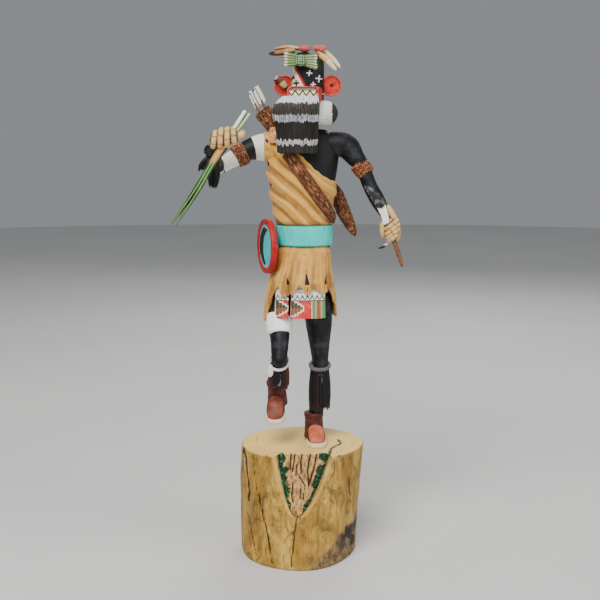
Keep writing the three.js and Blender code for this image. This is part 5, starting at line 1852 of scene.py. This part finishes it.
class DOLL_OT_crest(bpy.types.Operator):
    """Carve the feathers and the red tufts on the crown"""
    bl_idname = "doll.crest"
    bl_label = "Crest"

    def execute(self, context):
        for name, slot, paint_name, stops, barb, shaded_under, across, stations in CREST_FEATHERS:
            material = feather_material(paint_name, stops, barb, shaded_under)
            feather_piece(name, slot, material, across, stations)
        red = paint("Tuft red", tone(206, 96, 82), 0.7, 0.08, 0.8)
        rng = random.Random(5)
        for side, middle, radii in TUFTS:
            form = new_form()
            egg_form(form, middle, [r * 0.72 for r in radii], columns=32, rows=20)
            for _ in range(TUFT_HAIRS):
                turn, rise = rng.uniform(0, TURN), rng.uniform(-0.2, 1.2)
                way = Vector((cos(turn) * cos(rise), sin(turn) * cos(rise), sin(rise)))
                root = Vector(middle) + Vector([w * r * 0.4 for w, r in zip(way, radii)])
                end = Vector(middle) + Vector([w * r * rng.uniform(0.86, 1.06) for w, r in zip(way, radii)])
                side_way = way.cross(Vector((0.1, 0.2, 1))).normalized()
                strand(form, [[*root, 0.5, 0.5], [*root.lerp(end, 0.6), 0.5, 0.45], [*end, 0.28, 0.28]],
                       side_way, 6, 5)
            finish_piece(form, f"Red_tuft_{side}", red, f"red_tuft_{side}", "tuft_red")
        return {"FINISHED"}


# ---- what the doll carries ----
QUIVER_TUBE = ([-27.6, 21, 243, 6.3, 5.4], [-14, 21.6, 226, 6.6, 5.8], [6, 22, 197, 7, 6],
               [22, 21, 173.6, 6.6, 5.6])
QUIVER_WELL = ([-27.9, 21, 243.4, 5.6, 4.7], [-25, 21, 239.8, 5.4, 4.5])
QUIVER_TAIL = (
    [41, 17.4, 151.6, 0.9, 0.9], [38, 18, 158, 3.6, 3.2], [32, 19, 170, 5.2, 4.5], [25.8, 20.2, 184, 5.2, 4.8],
    [18, 21.4, 190, 4.2, 4],
)
# Arrows in the quiver as (name, mouth of the quiver, reach above it, lean, half width of a vane).
QUIVER_ARROWS = (("outer", (-30.6, 20, 243.4), 15, 0.04, 1.7), ("inner", (-25.6, 22, 245.4), 16.6, 0.0, 3.0))
ARROW_SUNK = 5
# The shield from its middle out over its rim to its back, as [share of its radius, height].
SHIELD_RADIUS = 20
SHIELD_PROFILE = (
    (0.0, 4.2), (0.78, 4.2), (0.8, 4.2), (0.83, 4.9), (0.9, 5.4), (0.97, 5.0), (1.0, 3.6), (1.0, 1.0),
    (0.8, -0.2), (0.4, -2), (0.0, -3),
)
# Blades of the whip, each with how much painted shade it takes: the last lies behind the others, in their
# shade.
WHIP_BLADES = (
    ([[-89.4, -34, 164.6, 0.5, 0.5], [-72, -35, 189, 1.5, 0.9], [-55, -35.5, 217, 1.6, 1.1],
      [-45.0, -36, 230.6, 1.35, 1.1], [-37.2, -36, 242.4, 1.3, 1]], 0),
    ([[-86.2, -35, 163.8, 0.5, 0.5], [-70, -36, 188, 1.4, 0.9], [-53.6, -36, 216, 1.5, 1],
      [-42.9, -36.3, 229, 0.75, 0.9], [-34.2, -36.6, 240.6, 1.0, 0.9]], 0),
    ([[-84, -33.6, 170.8, 0.5, 0.5], [-70.6, -34.6, 190, 1.4, 1], [-57.4, -35.4, 211, 1.6, 1.3],
      [-54.2, -35, 216, 1.6, 1.3]], 0),
    ([[-54, -34.8, 216.6, 1.2, 0.8], [-44, -35, 229.8, 1.2, 0.8], [-36.2, -35.2, 240.8, 1.2, 0.7]], 1.5),
)
HAND_SHAFT = ([72.8, -19, 133, 1, 1], [70, -18.6, 142, 1.7, 1.5], [66.5, -18, 152, 1.6, 1.4],
              [60, -17, 168, 1.1, 1.1])
HAND_VANE = (
    [61.4, -17.8, 163, 2.3, 0.8], [59.4, -17, 171, 2.7, 0.9], [55.4, -15.6, 180, 3.5, 0.9],
    [50.4, -13, 186, 2.6, 0.9], [45.4, -11, 190.6, 0.6, 0.6],
)
DART = ([55.4, -18.6, 146.3, 0.4, 0.5], [58.4, -18.8, 147, 0.8, 0.8], [62.4, -17.4, 149.6, 1.1, 1.0])


class DOLL_OT_quiver(bpy.types.Operator):
    """Carve the skin quiver on the back, its tail and two arrows"""
    bl_idname = "doll.quiver"
    bl_label = "Quiver"

    def execute(self, context):
        paints = context.scene.doll_paints
        f = Finish("Quiver skin", roughness=0.7)
        n = f.n
        hide = f.hatched(n.mix(0.3, paints.brown, tone(206, 132, 84)), tone(30, 15, 9), 34, 11, 0.5)
        # Painted shade: dark brown inside the quiver's mouth and in the grooves between the tail's rings.
        f.colour(n.mix(n.both(n.wash(), 0.85), hide, tone(40, 24, 16)))
        form = new_form()
        tube = Sweep(QUIVER_TUBE, ends=(0, 0.1))

        def skin(u, v):
            fur = 0.35 * fine(u * 22, v * 26, 0, 1, 111) + 0.35 * bell(v, 0.04, 0.03)
            return tube.at(u, v, fur), 0.0

        lay_grid(form, 90, 160, skin)
        well = Sweep(QUIVER_WELL)
        lay_grid(form, 40, 6, lambda u, v: (well.at(u, v), 1.0))
        tail = Sweep(QUIVER_TAIL, ends=(0.06, 0.1))

        def ringed(u, v):
            ring = cos(v * 62 + 2.5 * fine(u * 4, v * 9, 0, 1, 113))
            return tail.at(u, v, 0.14 * ring + 0.3 * fine(u * 18, v * 30, 0, 1, 112)), 0.2 - 0.2 * ring

        lay_grid(form, 72, 150, ringed)
        finish_piece(form, "Quiver", f.material, "quiver", "quiver_brown")
        self.arrows()
        return {"FINISHED"}

    def arrows(self):
        f = Finish("Fletching white", roughness=0.6)
        n = f.n
        edge = n.step(n.wash(), 0.5, 0.8)
        colour = n.mix(edge, tone(232, 226, 212), tone(38, 34, 32))
        white = f.brushed(n.mix(n.step(n.mark(), 0.5, 0.6), colour, tone(132, 84, 52)), 0.25, 0.05)
        for name, start, reach, lean, wide_half in QUIVER_ARROWS:
            form = new_form()
            way = Vector((-0.5 + lean, 0, 1)).normalized()
            begin = Vector(start)
            end = begin + way * reach
            foot = begin - way * ARROW_SUNK
            shaft = Sweep([[*foot, 1.0, 1.0], [*begin.lerp(end, 0.4), 0.9, 0.9], [*end, 0.8, 0.8]],
                          ends=(0.05, 0.08))
            lay_grid(form, 16, 28, lambda u, v, shaft=shaft: (shaft.at(u, v), 0.0, 1.0 if v < 0.48 else 0.0))
            side = Vector((way.z, 0, -way.x))
            for wide in (side, Vector((0, 1, 0))):
                low = begin + way * (reach - 14.4)

                def vane(u, v, low=low, wide=wide, way=way, wide_half=wide_half):
                    turn = TURN * u
                    x = bent(cos(turn), 5)
                    thick = bent(sin(turn), 2.5) * 0.4 * (1 - 0.4 * abs(x))
                    half = wide_half * (0.86 + 0.14 * sin(pi * v)) * ease(-0.02, 0.16, v)
                    barb = 0.05 * sin(v * 60 + abs(x) * 4)
                    point = low + way * (v * 13.8 + 0.9 * x * v) + wide * x * half
                    point += wide.cross(way) * (thick + barb * abs(x) * 0.5)
                    return point, ease(0.78, 0.95, -x) + ease(0.86, 0.97, v) * ease(0.1, 0.6, -x), 0.0

                lay_grid(form, 36, 40, vane)
            finish_piece(form, f"Quiver_arrow_{name}", white, f"quiver_arrow_{name}", "fletching_white")


class DOLL_OT_shield(bpy.types.Operator):
    """Carve the round shield at the right hip: red rim, turquoise face and a dark crescent"""
    bl_idname = "doll.shield"
    bl_label = "Hip Shield"

    def execute(self, context):
        paints = context.scene.doll_paints
        f = Finish("Shield paint", roughness=0.5)
        n = f.n
        rim = n.step(n.wash(), 0.45, 0.55)
        face = n.mix(n.patches(160, 4, 0.35, 0.7), paints.turquoise, tone(58, 166, 190))
        face = n.mix(n.step(n.mark(), 0.4, 0.6), face, paints.black)
        red = n.mix(n.patches(190, 4, 0.4, 0.7), paints.red, tone(140, 24, 26))
        shield = f.brushed(n.mix(rim, face, red), 0.3, 0.1)
        form = new_form()

        def place(u, v):
            scale, height = curve_straight(SHIELD_PROFILE, v)
            turn = TURN * u
            x, y = cos(turn) * SHIELD_RADIUS * scale, sin(turn) * SHIELD_RADIUS * scale
            front = height > 3.4
            is_rim = ease(0.77, 0.8, scale) if front else 1.0
            crescent = hypot(x, y - 1.2) < 13.6 and hypot(x + 1.6, y + 7.8) > 13.4 and front and scale < 0.78
            dent = 0.08 * fine(x * 0.4, y * 0.4, 0, 1, 121)
            return Vector((x, y, height + dent)), is_rim, 1.0 if crescent else 0.0

        lay_grid(form, 150, 160, place)
        move(form, form.verts[:], (0, -90, 18), (-21, -0.5, 146))
        finish_piece(form, "Hip_shield", shield, "hip_shield", "shield_paint")
        return {"FINISHED"}


class DOLL_OT_hand_tools(bpy.types.Operator):
    """Carve the yucca whip in the right hand, and the feathered arrow with its dark dart in the left"""
    bl_idname = "doll.hand_tools"
    bl_label = "Whip and Arrow"

    def execute(self, context):
        self.whip()
        self.arrow(context.scene.doll_paints)
        return {"FINISHED"}

    def whip(self):
        f = Finish("Yucca green", roughness=0.5)
        n = f.n
        share = n.parts(n.surface())[1]
        jag = n.jittered(height_mm(n), 330, 3, 4.0)
        leaf = n.mix(n.step(n.noise(n.stretched(n.place(), 1, 1, 0.4), 240, 4), 0.4, 0.65), tone(16, 66, 28),
                     tone(58, 112, 50))
        pale_stripe = n.inside(n.parts(n.surface())[0], 0.475, 0.525, 0.015)
        leaf = n.mix(n.both(n.both(pale_stripe, 0.75), n.step(share, 0.75, 0.4)), leaf, tone(160, 180, 104))
        colour = n.mix(n.step(jag, 206, 209), leaf, tone(196, 146, 80))
        across, _, height = n.parts(n.doll())
        green_side = n.step(n.scaled(height, -0.72, across), -210.2, -209.4)
        colour = n.mix(n.step(jag, 217, 219), colour,
                       n.mix(green_side, tone(240, 240, 228), tone(196, 216, 148)))
        f.brushed(n.mix(n.both(n.wash(), 0.6), colour, tone(28, 34, 22)), 0.3, 0.08)
        form = new_form()
        for stations, darkness in WHIP_BLADES:
            blade = Sweep(stations, across=(0.83, 0, -0.56), power=2.4, ends=(0.02, 0.02))

            def place(u, v, blade=blade, darkness=darkness):
                keel = 0.3 * bell(u, 0.5, 0.05)
                point = blade.at(u, v, keel + 0.05 * sin(v * 25))
                point.y += 3.6 * bell(point.z, 222, 9)
                lines = (bell(u, 0.4, 0.04) + bell(u, 0.6, 0.04)) * ease(228, 218, point.z)
                return point, max(lines, darkness)

            lay_grid(form, 36, 140, place)
        finish_piece(form, "Yucca_whip", f.material, "yucca_whip", "whip_green")

    def arrow(self, paints):
        f = Finish("Hand arrow paint", roughness=0.55)
        n = f.n
        across, share, _ = n.parts(n.surface())
        middle = n.away(across, 0.5)
        waves = {"Vector": n.surface(), "Scale": 14, "Distortion": 1.2, "Detail": 2}
        barbs = n.add("TexWave", waves, bands_direction="Y").outputs[1]
        edge = n.jittered(middle, 420, 3, 0.16)
        vane = n.mix(n.step(edge, 0.215, 0.235), paints.black, tone(168, 166, 162))
        vane = n.mix(n.both(n.step(barbs, 0.3, 0.05), 0.5), vane, tone(52, 50, 50))
        sheen_lines = n.both(n.step(n.noise(n.stretched(n.place(), 1, 1, 0.4), 420, 4), 0.48, 0.66), 0.45)
        vane = n.mix(sheen_lines, vane, tone(150, 150, 152))
        vane = n.mix(n.step(n.scaled(edge, -0.2, share), 0.36, 0.31), vane, tone(240, 236, 230))
        stick = n.mix(n.patches(300, 3, 0.4, 0.7), tone(120, 80, 52), tone(86, 54, 36))
        colour = n.mix(n.step(n.mark(), 0.4, 0.6), vane, stick)
        f.brushed(colour, 0.3, 0.08)
        form = new_form()
        shaft = Sweep(HAND_SHAFT, ends=(0.06, 0.06))
        lay_grid(form, 24, 60, lambda u, v: (shaft.at(u, v, 0.06 * sin(v * 14)), 0.0, 1.0))
        leaf = Sweep(HAND_VANE, across=(0.86, 0, 0.5), ends=(0.04, 0.04))

        def vane_place(u, v):
            rib = 0.3 * bell(u, 0.5, 0.025)
            return leaf.at(u, v, rib + 0.1 * sin(v * 70) * bell(abs(u - 0.5), 0.25, 0.1)), 0.0, 0.0

        lay_grid(form, 60, 110, vane_place)
        finish_piece(form, "Hand_arrow", f.material, "hand_arrow", "arrow_paint")
        d = Finish("Dart black", roughness=0.4)
        z = d.n.parts(d.n.doll())[2]
        d.brushed(d.n.mix(d.n.step(z, 147.9, 148.6), paints.black, tone(190, 182, 168)), 0.5, 0.1)
        form = new_form()
        dart = Sweep(DART, across=(0, 0, 1), ends=(0.12, 0.12))
        lay_sweep(form, dart, 28, 36, lambda u, v, p: 0.05 * sin(v * 20))
        finish_piece(form, "Dart_tip", d.material, "dart_tip", "tip_black")


# ---- floor, light and camera, in metres ----
# Lights as (name, size, its power in the settings, place, what it points at).
LIGHTS = (
    ("Key light", 0.9, "key_power", (-0.35, -0.95, 1.25), (0, 0, 0.2)),
    ("Fill light", 1.2, "fill_power", (1.1, -0.7, 0.6), (0, 0, 0.2)),
    ("Rim light", 0.8, "fill_power", (0.3, 1.1, 1.0), (0, 0, 0.25)),
)
SKY_COLOUR, SKY_STRENGTH = (0.86, 0.9, 0.96, 1), 0.3
CAMERA_LENS, CAMERA_PLACE, CAMERA_AIM = 69, (0, -0.8310, 0.3091), (0, 0, 0.1864)
FLOOR_RADIUS = 3.0


def aimed(place, aim):
    """The rotation of a lamp or camera at a place that looks at another."""
    return (Vector(aim) - Vector(place)).to_track_quat("-Z", "Y").to_euler()


class DOLL_OT_studio(bpy.types.Operator):
    """Lay the pale floor and set the soft lights and the camera"""
    bl_idname = "doll.studio"
    bl_label = "Studio"

    def execute(self, context):
        stage = context.scene.doll_stage
        form = new_form()
        bmesh.ops.create_circle(form, cap_ends=True, segments=64, radius=FLOOR_RADIUS)
        mesh = bpy.data.meshes.new("Floor")
        form.to_mesh(mesh)
        form.free()
        floor = bpy.data.objects.new("Floor", mesh)
        context.scene.collection.objects.link(floor)
        f = Finish("Floor paint", roughness=0.85)
        f.colour(f.n.mix(f.n.step(f.n.noise(f.n.place(), 3, 3), 0.2, 0.8), stage.floor, tone(204, 203, 200)))
        mesh.materials.append(f.material)
        for name, size, power, place, aim in LIGHTS:
            lamp = bpy.data.lights.new(name, "AREA")
            lamp.shape, lamp.size, lamp.energy = "DISK", size, getattr(stage, power)
            thing = bpy.data.objects.new(name, lamp)
            thing.location, thing.rotation_euler = place, aimed(place, aim)
            context.scene.collection.objects.link(thing)
        world = bpy.data.worlds.new("Soft sky")
        world.use_nodes = True
        sky = world.node_tree.nodes["Background"].inputs
        sky["Color"].default_value, sky["Strength"].default_value = SKY_COLOUR, SKY_STRENGTH
        context.scene.world = world
        camera = bpy.data.objects.new("Camera", bpy.data.cameras.new("Camera"))
        camera.data.lens = CAMERA_LENS
        camera.location, camera.rotation_euler = CAMERA_PLACE, aimed(CAMERA_PLACE, CAMERA_AIM)
        context.scene.collection.objects.link(camera)
        context.scene.camera = camera
        return {"FINISHED"}


OPERATORS = (
    DOLL_OT_root_base, DOLL_OT_torso, DOLL_OT_dress, DOLL_OT_straps, DOLL_OT_sash, DOLL_OT_legs,
    DOLL_OT_knee_fringes, DOLL_OT_moccasins, DOLL_OT_arms, DOLL_OT_hands, DOLL_OT_head, DOLL_OT_beard,
    DOLL_OT_ears, DOLL_OT_husk_bow, DOLL_OT_crest, DOLL_OT_quiver, DOLL_OT_shield, DOLL_OT_hand_tools,
    DOLL_OT_studio,
)


class DOLL_PT_build(bpy.types.Panel):
    """Lists the pieces of the doll and the sizes and paints they take"""
    bl_idname = "DOLL_PT_build"
    bl_label = "Kachina Doll"
    bl_space_type = "VIEW_3D"
    bl_region_type = "UI"
    bl_category = "Doll"

    def draw(self, context):
        for group in (context.scene.doll_sizes, context.scene.doll_paints, context.scene.doll_stage):
            box = self.layout.box()
            for key in group.bl_rna.properties.keys():
                if key not in {"rna_type", "name"}:
                    box.prop(group, key)
        for operator in OPERATORS:
            self.layout.operator(operator.bl_idname)


CLASSES = (DollSizes, DollPaints, DollStage, *OPERATORS, DOLL_PT_build)


def register():
    for cls in CLASSES:
        bpy.utils.register_class(cls)
    bpy.types.Scene.doll_sizes = PointerProperty(type=DollSizes)
    bpy.types.Scene.doll_paints = PointerProperty(type=DollPaints)
    bpy.types.Scene.doll_stage = PointerProperty(type=DollStage)


def unregister():
    del bpy.types.Scene.doll_stage
    del bpy.types.Scene.doll_paints
    del bpy.types.Scene.doll_sizes
    for cls in reversed(CLASSES):
        bpy.utils.unregister_class(cls)


def main():
    register()
    for operator in OPERATORS:
        group, name = operator.bl_idname.split(".")
        getattr(getattr(bpy.ops, group), name)()


if __name__ == "__main__":
    main()
